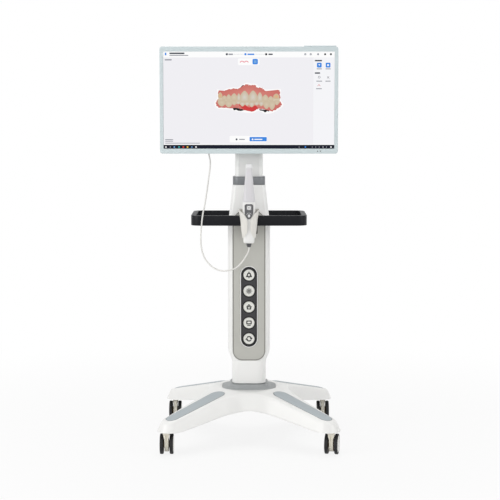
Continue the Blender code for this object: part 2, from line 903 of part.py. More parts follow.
def cowl():
    # Flared shroud over the top of the lower column, arched open over the front panel
    shares = (
        (0.0, 1.0, 1.0),
        (0.13, 0.86, 0.97),
        (0.39, 0.55, 0.82),
        (0.68, 0.22, 0.53),
        (1.0, 0.0, 0.0),
    )
    outer = []
    for share, wide, deep in shares:
        width = cowl_top_width + (cowl_bottom_width - cowl_top_width) * wide
        depth = cowl_top_depth + (cowl_bottom_depth - cowl_top_depth) * deep
        outer.append((width, depth, cowl_corner, cowl_bottom + cowl_height * share))
    throat_width = mast_width + 2 * slide_gap
    throat_depth = mast_depth + 2 * slide_gap
    throat_corner = mast_corner + slide_gap
    inner = [(throat_width, throat_depth, throat_corner, cowl_top)]
    inner.append((throat_width, throat_depth, throat_corner, cowl_top - 0.010))
    for width, depth, corner, height in reversed(outer[:4]):
        inside = (width - 2 * cowl_wall, depth - 2 * cowl_wall, corner - cowl_wall, height)
        inner.append(inside)
    rings = [level_ring(*size) for size in outer + inner]
    shroud = add_piece("cowl", loft(rings, tube=True), "white_plastic")
    arch = slab([panel_outline(-arch_edge)], column_depth / 2)
    cut(shroud, add_helper("cowl_arch", arch, upright(panel_front)))
    arm_top = handle_bottom + (handle_height + arm_block_height) / 2
    notch_height = 2 * (arm_top + cowl_notch_gap - cowl_bottom)
    notch = block(arm_block_width + 2 * cowl_notch_gap, column_depth, notch_height)
    cut(shroud, add_helper("cowl_notch", notch, level(cowl_bottom, 0, column_depth)))
    ring = slab(
        [
            rounded_rectangle(collar_width, collar_depth, collar_corner, 5),
            mast_outline(slide_gap),
        ],
        collar_height,
    )
    add_piece("collar", ring, "collar_metal", level(cowl_top + gap))


def upper_column():
    mast = slab([mast_outline(0)], mast_top - mast_bottom)
    column = add_piece("upper_column", mast, "white_paint", level(mast_bottom))
    channel = block(face_width, 4 * face_thickness, mast_top - mast_bottom + 0.02)
    middle = (mast_top + mast_bottom) / 2
    cut(column, add_helper("face_channel", channel, level(middle, 0, -mast_depth / 2 - face_thickness)))
    floor = -mast_depth / 2 + face_thickness - gap
    outline = rounded_rectangle(face_width - 2 * gap, mast_top - mast_bottom, 0.0008, 1)
    face = slab([outline], face_thickness - gap)
    strip = add_piece("column_face", face, "face_grey", upright(floor, middle))
    return [column, strip]


def handle():
    outer = rounded_rectangle(handle_width, handle_depth, handle_corner, 6)
    inner = rounded_rectangle(
        handle_width - 2 * handle_bar,
        handle_depth - 2 * handle_bar,
        handle_corner - handle_bar,
        6,
    )
    bar = slab([outer, inner], handle_height)
    ring = add_piece("handle_ring", bar, "handle_black", level(handle_bottom))
    round_edges(ring, handle_edge)
    middle = handle_bottom + handle_height / 2
    reach = handle_depth / 2 - handle_bar - gap
    front_start = -panel_front + gap
    rear_start = column_depth / 2 + gap
    for name, side, start in (("front", -1, front_start), ("rear", 1, rear_start)):
        arm = block(arm_block_width, reach - start, arm_block_height)
        place = level(middle, 0, side * (start + reach) / 2)
        round_edges(add_piece(f"handle_arm_{name}", arm, "handle_black", place), 0.002)


def holder_sections(shrink):
    # Cradle from its open top down to its narrow foot
    shares = ((0.0, 1.0), (0.08, 0.86), (0.22, 0.69), (0.39, 0.51), (0.67, 0.34), (0.88, 0.13), (1.0, 0.0))
    sections = []
    for down, wide in shares:
        width = holder_foot_width + (holder_width - holder_foot_width) * wide
        depth = holder_foot_depth + (holder_depth - holder_foot_depth) * wide
        corner = min(width, depth) * 0.42
        height = holder_top - holder_height * down
        sections.append((width - 2 * shrink, depth - 2 * shrink, corner - shrink, height))
    return sections


def notch_outline():
    # Open V between the horns, a slot below it, and the flare at the cradle's foot
    slot = slot_width / 2
    low = holder_top - notch_drop
    top = holder_top
    half = [
        (slot + 0.0115, holder_bottom - 0.004),
        (slot + 0.0100, holder_bottom + 0.0005),
        (slot + 0.0045, holder_bottom + 0.011),
        (slot, holder_bottom + 0.022),
        (slot, low + 0.002),
        (slot + 0.0010, low + 0.007),
        (slot + 0.0055, low + 0.0155),
        (slot + 0.0115, low + 0.0235),
        (notch_width / 2 - 0.003, top - 0.004),
        (notch_width / 2, top - 0.001),
        (notch_width / 2 + 0.001, top + 0.004),
    ]
    return half + [(-x, z) for x, z in reversed(half)]


def holder():
    outside = [level_ring(w, d, c, z, handpiece_y) for w, d, c, z in holder_sections(0)]
    inside = [level_ring(w, d, c, z, handpiece_y) for w, d, c, z in holder_sections(holder_wall)]
    cradle = loft(outside + list(reversed(inside)), tube=True)
    piece = add_piece("holder", cradle, "holder_beige")
    boss_back = handle_front - gap
    boss_front = handpiece_y + holder_foot_depth / 2 + holder_wall * 0.1
    boss = block(boss_width, boss_back - boss_front, holder_boss_height)
    middle = handle_top + boss_above_handle - holder_boss_height / 2
    join(piece, add_helper("holder_boss", boss, level(middle, 0, (boss_back + boss_front) / 2)))
    well = [level_ring(w, d, c, z, handpiece_y) for w, d, c, z in holder_sections(holder_wall)]
    well[0] = [point + Vector((0, 0, 0.01)) for point in well[0]]
    well[-1] = [point - Vector((0, 0, 0.01)) for point in well[-1]]
    cut(piece, add_helper("holder_well", loft(well)))
    notch = slab([notch_outline()], holder_depth)
    cut(piece, add_helper("holder_notch", notch, upright(handpiece_y - 0.002)))
    clamp_top = handle_bottom - gap
    clamp_back = handle_front + clamp_depth
    clamp_front = handle_front
    clamp = block(clamp_width, clamp_back - clamp_front, clamp_height)
    place = level(clamp_top - clamp_height / 2, clamp_shift, (clamp_back + clamp_front) / 2)
    round_edges(add_piece("holder_clamp", clamp, "dark_rubber", place), 0.0015)


def handpiece():
    y = handpiece_y
    sizes = (
        (0.80, 0.80, body_bottom),
        (0.93, 0.93, body_bottom + 0.0018),
        (0.99, 0.99, body_bottom + 0.0060),
        (1.00, 1.00, body_bottom + 0.0130),
    )
    rings = [
        level_ring(body_foot_width * w, body_foot_depth * d, 0.0095, z, y) for w, d, z in sizes
    ]
    for share, spread in ((0.35, 0.26), (0.55, 0.58), (0.75, 0.87), (0.92, 1.0), (0.985, 0.99)):
        width = body_foot_width + (body_width - body_foot_width) * spread
        depth = body_foot_depth + (body_depth - body_foot_depth) * spread
        rings.append(level_ring(width, depth, 0.0105, body_bottom + body_length * share, y))
    nose_width = tip_base_width - 2 * tip_wall - 0.0012
    nose_depth = tip_base_depth - 2 * tip_wall - 0.0012
    rings.append(level_ring(tip_base_width + 0.001, tip_base_depth + 0.001, 0.0105, body_top, y))
    rings.append(level_ring(nose_width, nose_depth, 0.0095, body_top, y))
    share = nose_length / tip_length
    end_width = nose_width + (tip_end_width - tip_base_width) * share * 1.35
    end_depth = nose_depth + (tip_end_depth - tip_base_depth) * share * 1.35
    rings.append(level_ring(end_width, end_depth, 0.006, body_top + nose_length, y))
    body = add_piece("handpiece_body", loft(rings), "white_plastic")
    front = y - body_depth / 2 - pad_proud
    floor = front + pad_thickness + gap
    recess = slab([pad_outline(gap)], pad_thickness * 3)
    cut(body, add_helper("pad_recess", recess, upright(floor)))
    main_z = pad_top() - 0.0110
    small_z = pad_top() - 0.0356
    main_side = main_button_side + 2 * key_gap
    main_hole = shifted(rounded_rectangle(main_side, main_side, 0.0049), main_z)
    small_hole = oval(small_button_width / 2 + key_gap, small_z)
    pad = slab([pad_outline(0), main_hole, small_hole], pad_thickness)
    add_piece("handpiece_pad", pad, "pad_grey", upright(floor - gap))
    button_back = floor - gap - button_travel
    main = slab([rounded_rectangle(main_button_side, main_button_side, 0.0045)], button_thickness)
    round_edges(add_piece("main_button", main, "button_white", upright(button_back, main_z)), 0.0005, 1)
    small = slab([oval(small_button_width / 2, 0)], button_thickness)
    round_edges(add_piece("small_button", small, "button_white", upright(button_back, small_z)), 0.0005, 1)
    profile = (
        (0.0, 0.0),
        (gland_radius, 0.0),
        (gland_radius, -gland_length * 0.35),
        (gland_radius * 0.80, -gland_length * 0.92),
        (gland_radius * 0.70, -gland_length),
        (0.0, -gland_length),
    )
    gland = add_piece("cord_gland", turned(profile, 20), "pad_grey")
    gland.matrix_world = level(body_bottom - gap, 0, y)


def shifted(points, z):
    return [(x, height + z) for x, height in points]


def oval(radius, z):
    return [(x, height * 1.2 + z) for x, height in circle(radius, 16)]


def pad_top():
    return body_top - 0.0060


def pad_outline(grow):
    # Shield shape: square shoulders, straight sides and a rounded point
    half = pad_width / 2 + grow
    top = pad_top() + grow
    low = pad_top() - pad_length - grow
    points = arc(half - 0.003, top - 0.003, 0.003, 0, 90, 3)
    points += arc(-half + 0.003, top - 0.003, 0.003, 90, 180, 3)
    side = [(half, 0.50), (half * 0.93, 0.36), (half * 0.80, 0.22), (half * 0.58, 0.10)]
    side += [(half * 0.38, 0.035), (half * 0.20, 0.0)]
    points += [(-x, low + pad_length * share) for x, share in side]
    return points + [(x, low + pad_length * share) for x, share in reversed(side)]


def tip_sections(shrink, top_cut):
    # Slip-on tip: tapered sleeve whose head slopes back over the mirror
    shares = ((0.0, 0.0), (0.06, 0.035), (0.25, 0.30), (0.45, 0.57), (0.64, 0.80), (0.82, 1.0))
    rings = []
    for up, narrow in shares:
        width = tip_base_width + (tip_end_width - tip_base_width) * narrow - 2 * shrink
        depth = tip_base_depth + (tip_end_depth - tip_base_depth) * narrow - 2 * shrink
        corner = min(width, depth) * 0.36
        rings.append(level_ring(width, depth, corner, tip_bottom + tip_length * up, handpiece_y))
    return rings[:top_cut]


def handpiece_tip():
    outside = tip_sections(0.0, 6)
    for up, wide, deep in ((0.90, 1.0, 0.98), (0.94, 0.98, 0.80), (0.985, 0.93, 0.46), (1.0, 0.82, 0.30)):
        width = tip_end_width * wide
        depth = tip_end_depth * deep
        back = handpiece_y + (tip_end_depth - depth) / 2
        outside.append(level_ring(width, depth, depth * 0.36, tip_bottom + tip_length * up, back))
    inside = tip_sections(tip_wall, 4)
    rings = list(reversed(outside)) + inside
    tip = add_piece("handpiece_tip", loft(rings), "tip_lavender")
    window_z = tip_bottom + tip_length * 0.82
    window_back = handpiece_y + tip_end_depth / 2
    outline = rounded_rectangle(window_width + 2 * gap, window_height + 2 * gap, 0.004 + gap)
    recess = slab([outline], 0.003 + window_thickness + 2 * gap)
    cut(tip, add_helper("window_recess", recess, upright(window_back + 0.003, window_z)))
    glass = slab([rounded_rectangle(window_width, window_height, 0.004)], window_thickness)
    add_piece("tip_window", glass, "mirror_glass", upright(window_back - gap, window_z))


def screen_ring(width, height, corner, y):
    outline = rounded_rectangle(width, height, corner)
    return [Vector((x, y, z + hinge_height)) for x, z in outline]


def monitor():
    outer = rounded_rectangle(monitor_width, monitor_height, bezel_corner)
    inner = rounded_rectangle(screen_width, screen_height, 0.0015, 3)
    frame = add_piece(
        "monitor_bezel",
        slab([outer, inner], bezel_thickness),
        "bezel_blue_grey",
        upright(bezel_back, hinge_height),
    )
    round_edges(frame, 0.0009, 1)
    outline = rounded_rectangle(screen_width - 2 * gap, screen_height - 2 * gap, 0.0012, 3)
    screen_back = bezel_front + screen_recess + screen_thickness
    screen = add_piece(
        "screen_panel",
        slab([outline], screen_thickness),
        "screen_glass",
        upright(screen_back, hinge_height),
    )
    edge = bezel_corner
    rings = [
        screen_ring(monitor_width - 0.003, monitor_height - 0.003, edge, back_front),
        screen_ring(monitor_width - 0.003, monitor_height - 0.003, edge, edge_back - 0.005),
        screen_ring(monitor_width - 0.008, monitor_height - 0.008, edge, edge_back - 0.0015),
        screen_ring(monitor_width - 0.018, monitor_height - 0.018, edge, edge_back),
        screen_ring(bulge_width, bulge_height, bulge_corner, edge_back),
        screen_ring(bulge_width - 0.006, bulge_height - 0.006, bulge_corner, bulge_back - 0.002),
        screen_ring(bulge_width - 0.012, bulge_height - 0.012, bulge_corner, bulge_back),
    ]
    back = add_piece("monitor_back", loft(rings), "bezel_blue_grey")
    strip_x = monitor_width / 2 - top_strip_inset - top_strip_length / 2
    strip = slab([rounded_rectangle(top_strip_length, top_strip_depth, 0.0015, 2)], top_strip_height)
    strip_y = (bezel_front + bezel_back) / 2
    strip_z = hinge_height + monitor_height / 2 + gap
    top_strip = add_piece("top_strip", strip, "bezel_blue_grey", level(strip_z, strip_x, strip_y))
    for share in (0.24, 0.71):
        groove = block(0.0012, top_strip_depth * 2, 0.0012)
        x = strip_x + top_strip_length * (share - 0.5)
        place = level(strip_z + top_strip_height, x, strip_y)
        cut(top_strip, add_helper(f"strip_groove_{share}", groove, place))
    return [frame, screen, back, top_strip, *monitor_ports(), *tilt_knuckle()]


def monitor_ports():
    # Power inlet and scanner socket on the back bulge
    inlet = block(inlet_width, inlet_depth, inlet_height)
    inlet_back = bulge_back + gap + inlet_depth
    inlet_z = hinge_height - bulge_height / 2 + inlet_lift
    place = level(inlet_z, inlet_offset, inlet_back - inlet_depth / 2)
    power = add_piece("power_inlet", inlet, "dark_rubber", place)
    outline = rounded_rectangle(inlet_width - 2 * inlet_wall, inlet_height - 2 * inlet_wall, 0.003, 2)
    pocket = slab([outline], 2 * inlet_pocket)
    place = upright(inlet_back + inlet_pocket, inlet_z, inlet_offset)
    cut(power, add_helper("inlet_pocket", pocket, place))
    port_z = hinge_height - port_drop
    socket = block(port_width, port_depth, port_height)
    place = level(port_z, -port_offset, bulge_back + gap + port_depth / 2)
    port = add_piece("scanner_port", socket, "dark_rubber", place)
    round_edges(port, 0.001, 1)
    return [power, port, cord_plug(port_z)]


def cord_plug(port_z):
    # Moulded plug on the socket, tapering into the cable
    start = bulge_back + gap + port_depth + gap
    sizes = (
        (plug_width, plug_height, 0.0),
        (plug_width, plug_height, 0.62),
        (plug_width * 0.62, plug_height * 0.92, 0.72),
        (cord_diameter + 0.0012, cord_diameter + 0.0012, 1.0),
    )
    rings = []
    for width, height, share in sizes:
        outline = rounded_rectangle(width, height, min(width, height) * 0.30, 3)
        y = start + plug_length * share
        rings.append([Vector((x - port_offset, y, z + port_z)) for x, z in outline])
    return add_piece("cord_plug", loft(rings), "cable_grey")


def tilt_knuckle():
    # Mounting plate, flange, web and barrel that turn with the monitor
    outline = rounded_rectangle(mount_plate_side, mount_plate_side, 0.006, 3)
    mesh = slab([outline], mount_plate_thickness)
    plate = add_piece("mount_plate", mesh, "frame_steel", upright(plate_back, hinge_height))
    flange = block(flange_side, flange_thickness, flange_side)
    flange_y = flange_front + flange_thickness / 2
    knuckle = add_piece("tilt_knuckle", flange, "frame_steel", level(hinge_height, 0, flange_y))
    web = block(knuckle_length * 0.8, knuckle_reach - flange_thickness / 2, knuckle_radius * 1.5)
    join(knuckle, add_helper("knuckle_web", web, level(hinge_height, 0, flange_y / 2)))
    barrel = rod(knuckle_radius, knuckle_length, 24)
    place = sideways(-knuckle_length / 2, 0, hinge_height)
    join(knuckle, add_helper("knuckle_barrel", barrel, place))
    bore = rod(tilt_pin_radius + pin_gap, knuckle_length * 2, 20)
    cut(knuckle, add_helper("knuckle_bore", bore, sideways(-knuckle_length, 0, hinge_height)))
    return [plate, knuckle]


def tilt_bracket():
    # Forked bracket on the upper column, with the pin that the monitor tilts on
    inner = knuckle_length / 2 + gap
    outer = inner + cheek_thickness
    low = mast_top + gap
    floor = low + bracket_base
    top = hinge_height + knuckle_radius
    outline = [(-outer, low), (outer, low), (outer, top), (inner, top)]
    outline += [(inner, floor), (-inner, floor), (-inner, top), (-outer, top)]
    cheeks = slab([outline], cheek_depth)
    bracket = add_piece("tilt_bracket", cheeks, "frame_steel", upright(cheek_depth / 2))
    round_edges(bracket, 0.0012, 1)
    bore = rod(tilt_pin_radius + pin_gap, outer * 4, 20)
    cut(bracket, add_helper("bracket_bore", bore, sideways(-outer * 2, 0, hinge_height)))
    pin = rod(tilt_pin_radius, outer * 2 + 0.006, 20)
    tilt_pin = add_piece("tilt_pin", pin, "pin_steel", sideways(-outer - 0.003, 0, hinge_height))
    round_edges(tilt_pin, 0.0006, 1)
    return [bracket, tilt_pin]


def hook_height():
    return mast_top - hook_drop


def coil_place():
    # Center of the cable coil, hung on the hook beside the column
    x = -mast_width / 2 - hook_reach * 0.87
    z = hook_height() + hook_radius + gap - (coil_mean_radius - coil_section / 2)
    return Vector((x, hook_setback, z))


def cable_hook():
    # Rod from a round foot on the column's side, turned up at its end
    x = -mast_width / 2 - gap
    z = hook_height()
    end = x - hook_reach
    points = [(x - 0.001, hook_setback, z), (end + 0.008, hook_setback, z)]
    bend = arc(end + 0.008, z + 0.008, 0.008, 270, 180, 4)
    points += [(px, hook_setback, pz) for px, pz in bend[1:]]
    points.append((end, hook_setback, z + 0.016))
    hook = add_piece("cable_hook", tube(points, hook_radius, 2), "frame_steel")
    foot = rod(0.010, 0.003, 20)
    join(hook, add_helper("hook_foot", foot, sideways(x - 0.003, hook_setback, z)))
    return hook


def cable_points():
    # From the gland down, round the hanging loop, over the handle and up behind the monitor
    y = handpiece_y
    start = body_bottom - gap - gland_length - gap
    coil = coil_place()
    side = coil.x - coil_section / 2 + cord_diameter / 2
    return [
        (0.0, y, start),
        (-0.0010, y, start - 0.010),
        (-0.0075, -0.1500, 0.6000),
        (-0.0215, -0.1490, 0.5780),
        (-0.0420, -0.1470, 0.5590),
        (-0.0675, -0.1440, 0.5508),
        (-0.0900, -0.1410, 0.5515),
        (-0.1130, -0.1380, 0.5620),
        (-0.1340, -0.1355, 0.5850),
        (-0.1455, -0.1340, 0.6160),
        (-0.1484, -0.1332, 0.6506),
        (-0.1465, -0.1325, 0.6820),
        (-0.1443, -0.1310, 0.7060),
        (-0.1425, -0.1268, 0.7205),
        (-0.1407, -0.1170, 0.7320),
        (-0.1375, -0.1010, 0.7480),
        (-0.1322, -0.0770, 0.7820),
        (-0.1266, -0.0590, 0.8260),
        (-0.1220, -0.0480, 0.8620),
        (-0.1214, -0.0420, 0.8850),
        (-0.1255, -0.0375, 0.9060),
        (-0.1250, -0.0358, 0.9230),
        (side - 0.0030, coil.y - 0.0362, coil.z - 0.0503),
        (side - 0.0012, coil.y - 0.0270, coil.z - 0.0427),
        (side - 0.0003, coil.y - 0.0172, coil.z - 0.0390),
        (side, coil.y - 0.0076, coil.z - 0.0353),
    ]


def lead_points():
    # From the coil's rear side up and round to the plug
    coil = coil_place()
    plug_end = bulge_back + gap + port_depth + gap + plug_length + gap
    port_z = hinge_height - port_drop
    side = coil.x + coil_section / 2 - cord_diameter / 2
    rear = coil.y + coil_mean_radius
    return [
        (side, rear + 0.005, coil.z + 0.0225),
        (side + 0.001, rear + 0.0055, coil.z + 0.036),
        (side + 0.005, rear + 0.003, port_z - 0.013),
        (side + 0.012, rear - 0.006, port_z - 0.002),
        (-port_offset - 0.0035, plug_end + 0.017, port_z),
        (-port_offset - 0.0002, plug_end + 0.007, port_z),
        (-port_offset, plug_end, port_z),
    ]


def cables():
    radius = cord_diameter / 2
    run = smooth_route(cable_points(), cord_diameter * 3)
    add_piece("cord_run", tube(run, radius), "cable_grey")
    lead = smooth_route(lead_points(), cord_diameter * 3)
    add_piece("cord_lead", tube(lead, radius), "cable_grey")
    half = coil_section / 2
    profile = [
        (coil_mean_radius + r, z) for r, z in rounded_rectangle(2 * half, 2 * half, half * 0.6, 2)
    ]
    coil = [
        [
            Vector((z, r * math.cos(angle), r * math.sin(angle))) + coil_place()
            for r, z in profile
        ]
        for angle in (2 * math.pi * step / 24 for step in range(24))
    ]
    add_piece("cord_coil", loft(coil, tube=True), "cable_grey")


def carry(name, place, pieces):
    # Parents the pieces to an empty on their joint, where they stand
    joint = bpy.data.objects.new(name, None)
    joint.matrix_world = Matrix.Translation(place)
    parts.objects.link(joint)
    for piece in pieces:
        world = piece.matrix_world.copy()
        piece.parent = joint
        piece.matrix_parent_inverse = Matrix.Translation(place).inverted()
        piece.matrix_world = world
    return joint


base_cover()
base_inserts()
base_frame()
castors()
lower_column()
front_panel()
cowl()
handle()
holder()
handpiece()
handpiece_tip()
lift = upper_column() + tilt_bracket() + [cable_hook()]
carry("lift_slide", (0, 0, mast_bottom), lift)
carry("monitor_tilt", (0, 0, hinge_height), monitor())
cables()
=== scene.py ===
import math

import bmesh
import bpy
from mathutils import Matrix, Vector


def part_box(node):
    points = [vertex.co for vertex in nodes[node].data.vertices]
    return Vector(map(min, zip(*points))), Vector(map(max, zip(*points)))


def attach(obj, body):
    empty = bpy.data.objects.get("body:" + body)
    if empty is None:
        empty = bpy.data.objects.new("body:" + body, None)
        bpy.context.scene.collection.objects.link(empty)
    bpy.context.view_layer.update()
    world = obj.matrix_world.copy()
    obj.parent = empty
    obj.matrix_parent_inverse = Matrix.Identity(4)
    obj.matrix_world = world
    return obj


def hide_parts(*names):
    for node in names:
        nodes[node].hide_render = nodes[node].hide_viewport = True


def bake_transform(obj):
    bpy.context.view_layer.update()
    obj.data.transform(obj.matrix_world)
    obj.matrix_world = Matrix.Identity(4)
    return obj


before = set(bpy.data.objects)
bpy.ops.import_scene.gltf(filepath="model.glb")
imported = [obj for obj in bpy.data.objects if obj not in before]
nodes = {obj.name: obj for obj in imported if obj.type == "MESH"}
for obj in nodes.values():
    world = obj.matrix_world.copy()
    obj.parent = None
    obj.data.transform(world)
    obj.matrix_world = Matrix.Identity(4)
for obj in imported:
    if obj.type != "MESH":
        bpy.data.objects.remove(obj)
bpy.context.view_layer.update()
scene = bpy.context.scene
print("frame loaded")


# Shared shape helpers


def arcPoints(centerX, centerY, radius, start, end, steps):
    turns = [math.radians(start + (end - start) * step / steps) for step in range(steps + 1)]
    return [(centerX + radius * math.cos(turn), centerY + radius * math.sin(turn)) for turn in turns]


def circlePoints(radius, steps, centerX=0.0, centerY=0.0):
    return arcPoints(centerX, centerY, radius, 0, 360 - 360 / steps, steps - 1)


def roundedRectangle(width, height, corner, steps=10):
    x = width / 2 - corner
    y = height / 2 - corner
    points = []
    for quarter, (cx, cy) in enumerate(((x, y), (-x, y), (-x, -y), (x, -y))):
        points += arcPoints(cx, cy, corner, 90 * quarter, 90 * quarter + 90, steps)
    return points


def moved(points, x, y):
    return [(px + x, py + y) for px, py in points]


def taperedCapsule(start, startRadius, end, endRadius, steps):
    lean = math.degrees(math.asin((startRadius - endRadius) / (end - start)))
    points = arcPoints(end, 0, endRadius, lean - 90, 90 - lean, steps)
    return points + arcPoints(start, 0, startRadius, 90 - lean, 270 + lean, steps)


# Points, or rows of other numbers, on a smooth curve through the given ones
def smoothCurve(values, perSpan):
    rows = [Vector(row) for row in values]
    rows = [2 * rows[0] - rows[1], *rows, 2 * rows[-1] - rows[-2]]
    made = [rows[1]]
    for before, start, end, after in zip(rows, rows[1:], rows[2:], rows[3:]):
        for step in range(1, perSpan + 1):
            t = step / perSpan
            bend = 2 * before - 5 * start + 4 * end - after
            twist = 3 * start - before - 3 * end + after
            made.append(0.5 * (2 * start + (end - before) * t + bend * t * t + twist * t**3))
    return made


# Outline in X and Z, thickness towards the front
def upright(y, z=0.0, x=0.0):
    return Matrix(((1, 0, 0, x), (0, 0, -1, y), (0, 1, 0, z), (0, 0, 0, 1)))


# Outline in X and Z, thickness towards the rear, seen from behind
def backwards(y, z=0.0, x=0.0):
    return Matrix(((-1, 0, 0, x), (0, 0, 1, y), (0, 1, 0, z), (0, 0, 0, 1)))


# Outline in Y and Z, thickness along +X
def sideways(x, y=0.0, z=0.0):
    return Matrix(((0, 0, 1, x), (1, 0, 0, y), (0, 1, 0, z), (0, 0, 0, 1)))


def level(z, x=0.0, y=0.0):
    return Matrix.Translation((x, y, z))


def meshFrom(bm):
    bmesh.ops.recalc_face_normals(bm, faces=bm.faces[:])
    mesh = bpy.data.meshes.new("shape")
    bm.to_mesh(mesh)
    bm.free()
    return mesh


# Level rounded rectangle: width, depth, corner radius and height
def ringAt(width, depth, corner, z, y=0.0, steps=10):
    return [Vector((px, py + y, z)) for px, py in roundedRectangle(width, depth, corner, steps)]


def ringsAt(rows, y=0.0, steps=10):
    return [ringAt(*row, y, steps) for row in rows]


def bridgeRows(bm, rows):
    for lower, upper in zip(rows, rows[1:]):
        count = len(lower)
        for i in range(count):
            j = (i + 1) % count
            bm.faces.new((lower[i], lower[j], upper[j], upper[i]))


def loftMesh(rings, tube=False):
    bm = bmesh.new()
    rows = [[bm.verts.new(point) for point in ring] for ring in rings]
    bridgeRows(bm, rows + rows[:1] if tube else rows)
    if not tube:
        bm.faces.new(rows[0])
        bm.faces.new(rows[-1])
    return meshFrom(bm)


def temporary(mesh, place=None):
    piece = bpy.data.objects.new("temporary", mesh)
    piece.matrix_world = place or Matrix.Identity(4)
    scene.collection.objects.link(piece)
    return piece


# The piece's mesh in world space with its modifiers applied; the piece itself is removed
def bakedMesh(piece):
    bpy.context.view_layer.update()
    graph = bpy.context.evaluated_depsgraph_get()
    matrix = piece.matrix_world.copy()
    mesh = bpy.data.meshes.new_from_object(piece.evaluated_get(graph))
    bpy.data.objects.remove(piece, do_unlink=True)
    mesh.transform(matrix)
    return mesh


# Joins, cuts and rounded edges, in that order
def shaped(mesh, place=None, bevel=0.0, segments=3, angle=35, cuts=(), joins=()):
    piece = temporary(mesh, place)
    helpers = []
    for operation, others in (("UNION", joins), ("DIFFERENCE", cuts)):
        for other, otherPlace in others:
            helper = temporary(other, otherPlace)
            helpers.append(helper)
            modifier = piece.modifiers.new("boolean", "BOOLEAN")
            modifier.operation = operation
            modifier.object = helper
            modifier.solver = "EXACT"
    if bevel:
        modifier = piece.modifiers.new("bevel", "BEVEL")
        modifier.width = bevel
        modifier.segments = segments
        modifier.limit_method = "ANGLE"
        modifier.angle_limit = math.radians(angle)
    made = bakedMesh(piece)
    for helper in helpers:
        bpy.data.objects.remove(helper, do_unlink=True)
    return made


def slabMesh(loops, thickness):
    curve = bpy.data.curves.new("outline", "CURVE")
    curve.dimensions = "2D"
    curve.fill_mode = "BOTH"
    curve.extrude = thickness / 2
    for loop in loops:
        spline = curve.splines.new("POLY")
        spline.points.add(len(loop) - 1)
        for point, (x, y) in zip(spline.points, loop):
            point.co = (x, y, 0, 1)
        spline.use_cyclic_u = True
    piece = bpy.data.objects.new("outline", curve)
    scene.collection.objects.link(piece)
    bm = bmesh.new()
    bm.from_mesh(bakedMesh(piece))
    bmesh.ops.remove_doubles(bm, verts=bm.verts[:], dist=0.00001)
    bmesh.ops.translate(bm, verts=bm.verts[:], vec=(0, 0, thickness / 2))
    bmesh.ops.dissolve_limit(bm, angle_limit=0.005, verts=bm.verts[:], edges=bm.edges[:])
    return meshFrom(bm)


def blockMesh(sizeX, sizeY, sizeZ):
    bm = bmesh.new()
    bmesh.ops.create_cube(bm, size=1.0)
    bmesh.ops.scale(bm, vec=(sizeX, sizeY, sizeZ), verts=bm.verts[:])
    return meshFrom(bm)


def rodMesh(radius, length, facets):
    return slabMesh([circlePoints(radius, facets)], length)


# A profile of (radius, height) turned about Z; a point on the axis becomes a pole
def turnedMesh(profile, steps):
    bm = bmesh.new()
    rows = []
    for radius, height in profile:
        if radius < 1e-6:
            rows.append([bm.verts.new((0, 0, height))])
        else:
            rows.append([bm.verts.new((x, y, height)) for x, y in circlePoints(radius, steps)])
    for lower, upper in zip(rows, rows[1:]):
        for i in range(steps):
            j = (i + 1) % steps
            corners = [lower[i % len(lower)], lower[j % len(lower)]]
            corners += [upper[j % len(upper)], upper[i % len(upper)]]
            corners = list(dict.fromkeys(corners))
            if len(corners) > 2:
                bm.faces.new(corners)
    return meshFrom(bm)


# Polygon numbers follow the order of the meshes
def joinedMesh(meshes):
    bm = bmesh.new()
    for mesh in meshes:
        bm.from_mesh(mesh)
    joined = bpy.data.meshes.new("joined")
    bm.to_mesh(joined)
    bm.free()
    return joined


# The finished piece: one or more paints, the body, if any, that it moves with and the solids that it stands
# for
def addPiece(name, mesh, body, paints, replaced=(), sharp=32):
    painted = [face.material_index for face in mesh.polygons]
    mesh.materials.clear()
    for paint in paints if isinstance(paints, (list, tuple)) else [paints]:
        mesh.materials.append(materials[paint])
    mesh.polygons.foreach_set("material_index", painted)
    mesh.shade_smooth()
    mesh.set_sharp_from_angle(angle=math.radians(sharp))
    mesh.name = name
    piece = bpy.data.objects.new(name, mesh)
    scene.collection.objects.link(piece)
    if body:
        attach(piece, body)
    if replaced:
        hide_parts(*replaced)
    return piece


# Gives faces a second material where the test says so
def paintFaces(mesh, index, test):
    for face in mesh.polygons:
        if test(face):
            face.material_index = index


def nodeBox(name):
    low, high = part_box(name)
    return Vector(low), Vector(high)


# Node helpers for geometry, materials and the world


# Sockets, or nodes by their first output, are linked; anything else is a plain value
def setInputs(tree, node, inputs):
    for label, value in inputs.items():
        if isinstance(value, bpy.types.Node):
            value = value.outputs[0]
        if isinstance(value, bpy.types.NodeSocket):
            tree.links.new(value, node.inputs[label])
        else:
            node.inputs[label].default_value = value
    return node


def addNode(tree, kind, inputs=(), **settings):
    node = tree.nodes.new(kind)
    for label, value in settings.items():
        setattr(node, label, value)
    return setInputs(tree, node, dict(inputs))


def mathNode(tree, operation, *values):
    return addNode(tree, "ShaderNodeMath", enumerate(values), operation=operation).outputs[0]


def newTree(name, inputs):
    tree = bpy.data.node_groups.new(name, "GeometryNodeTree")
    tree.interface.new_socket("Geometry", in_out="INPUT", socket_type="NodeSocketGeometry")
    for label, kind, value in inputs:
        socket = tree.interface.new_socket(label, in_out="INPUT", socket_type=f"NodeSocket{kind}")
        if value is not None:
            socket.default_value = value
    tree.interface.new_socket("Geometry", in_out="OUTPUT", socket_type="NodeSocketGeometry")
    return tree, tree.nodes.new("NodeGroupInput").outputs


def endTree(tree, geometry, paint):
    real = addNode(tree, "GeometryNodeRealizeInstances", {"Geometry": geometry})
    finish = {"Geometry": real, "Material": materials[paint]}
    finish = addNode(tree, "GeometryNodeSetMaterial", finish)
    addNode(tree, "NodeGroupOutput", {"Geometry": finish})
    return tree


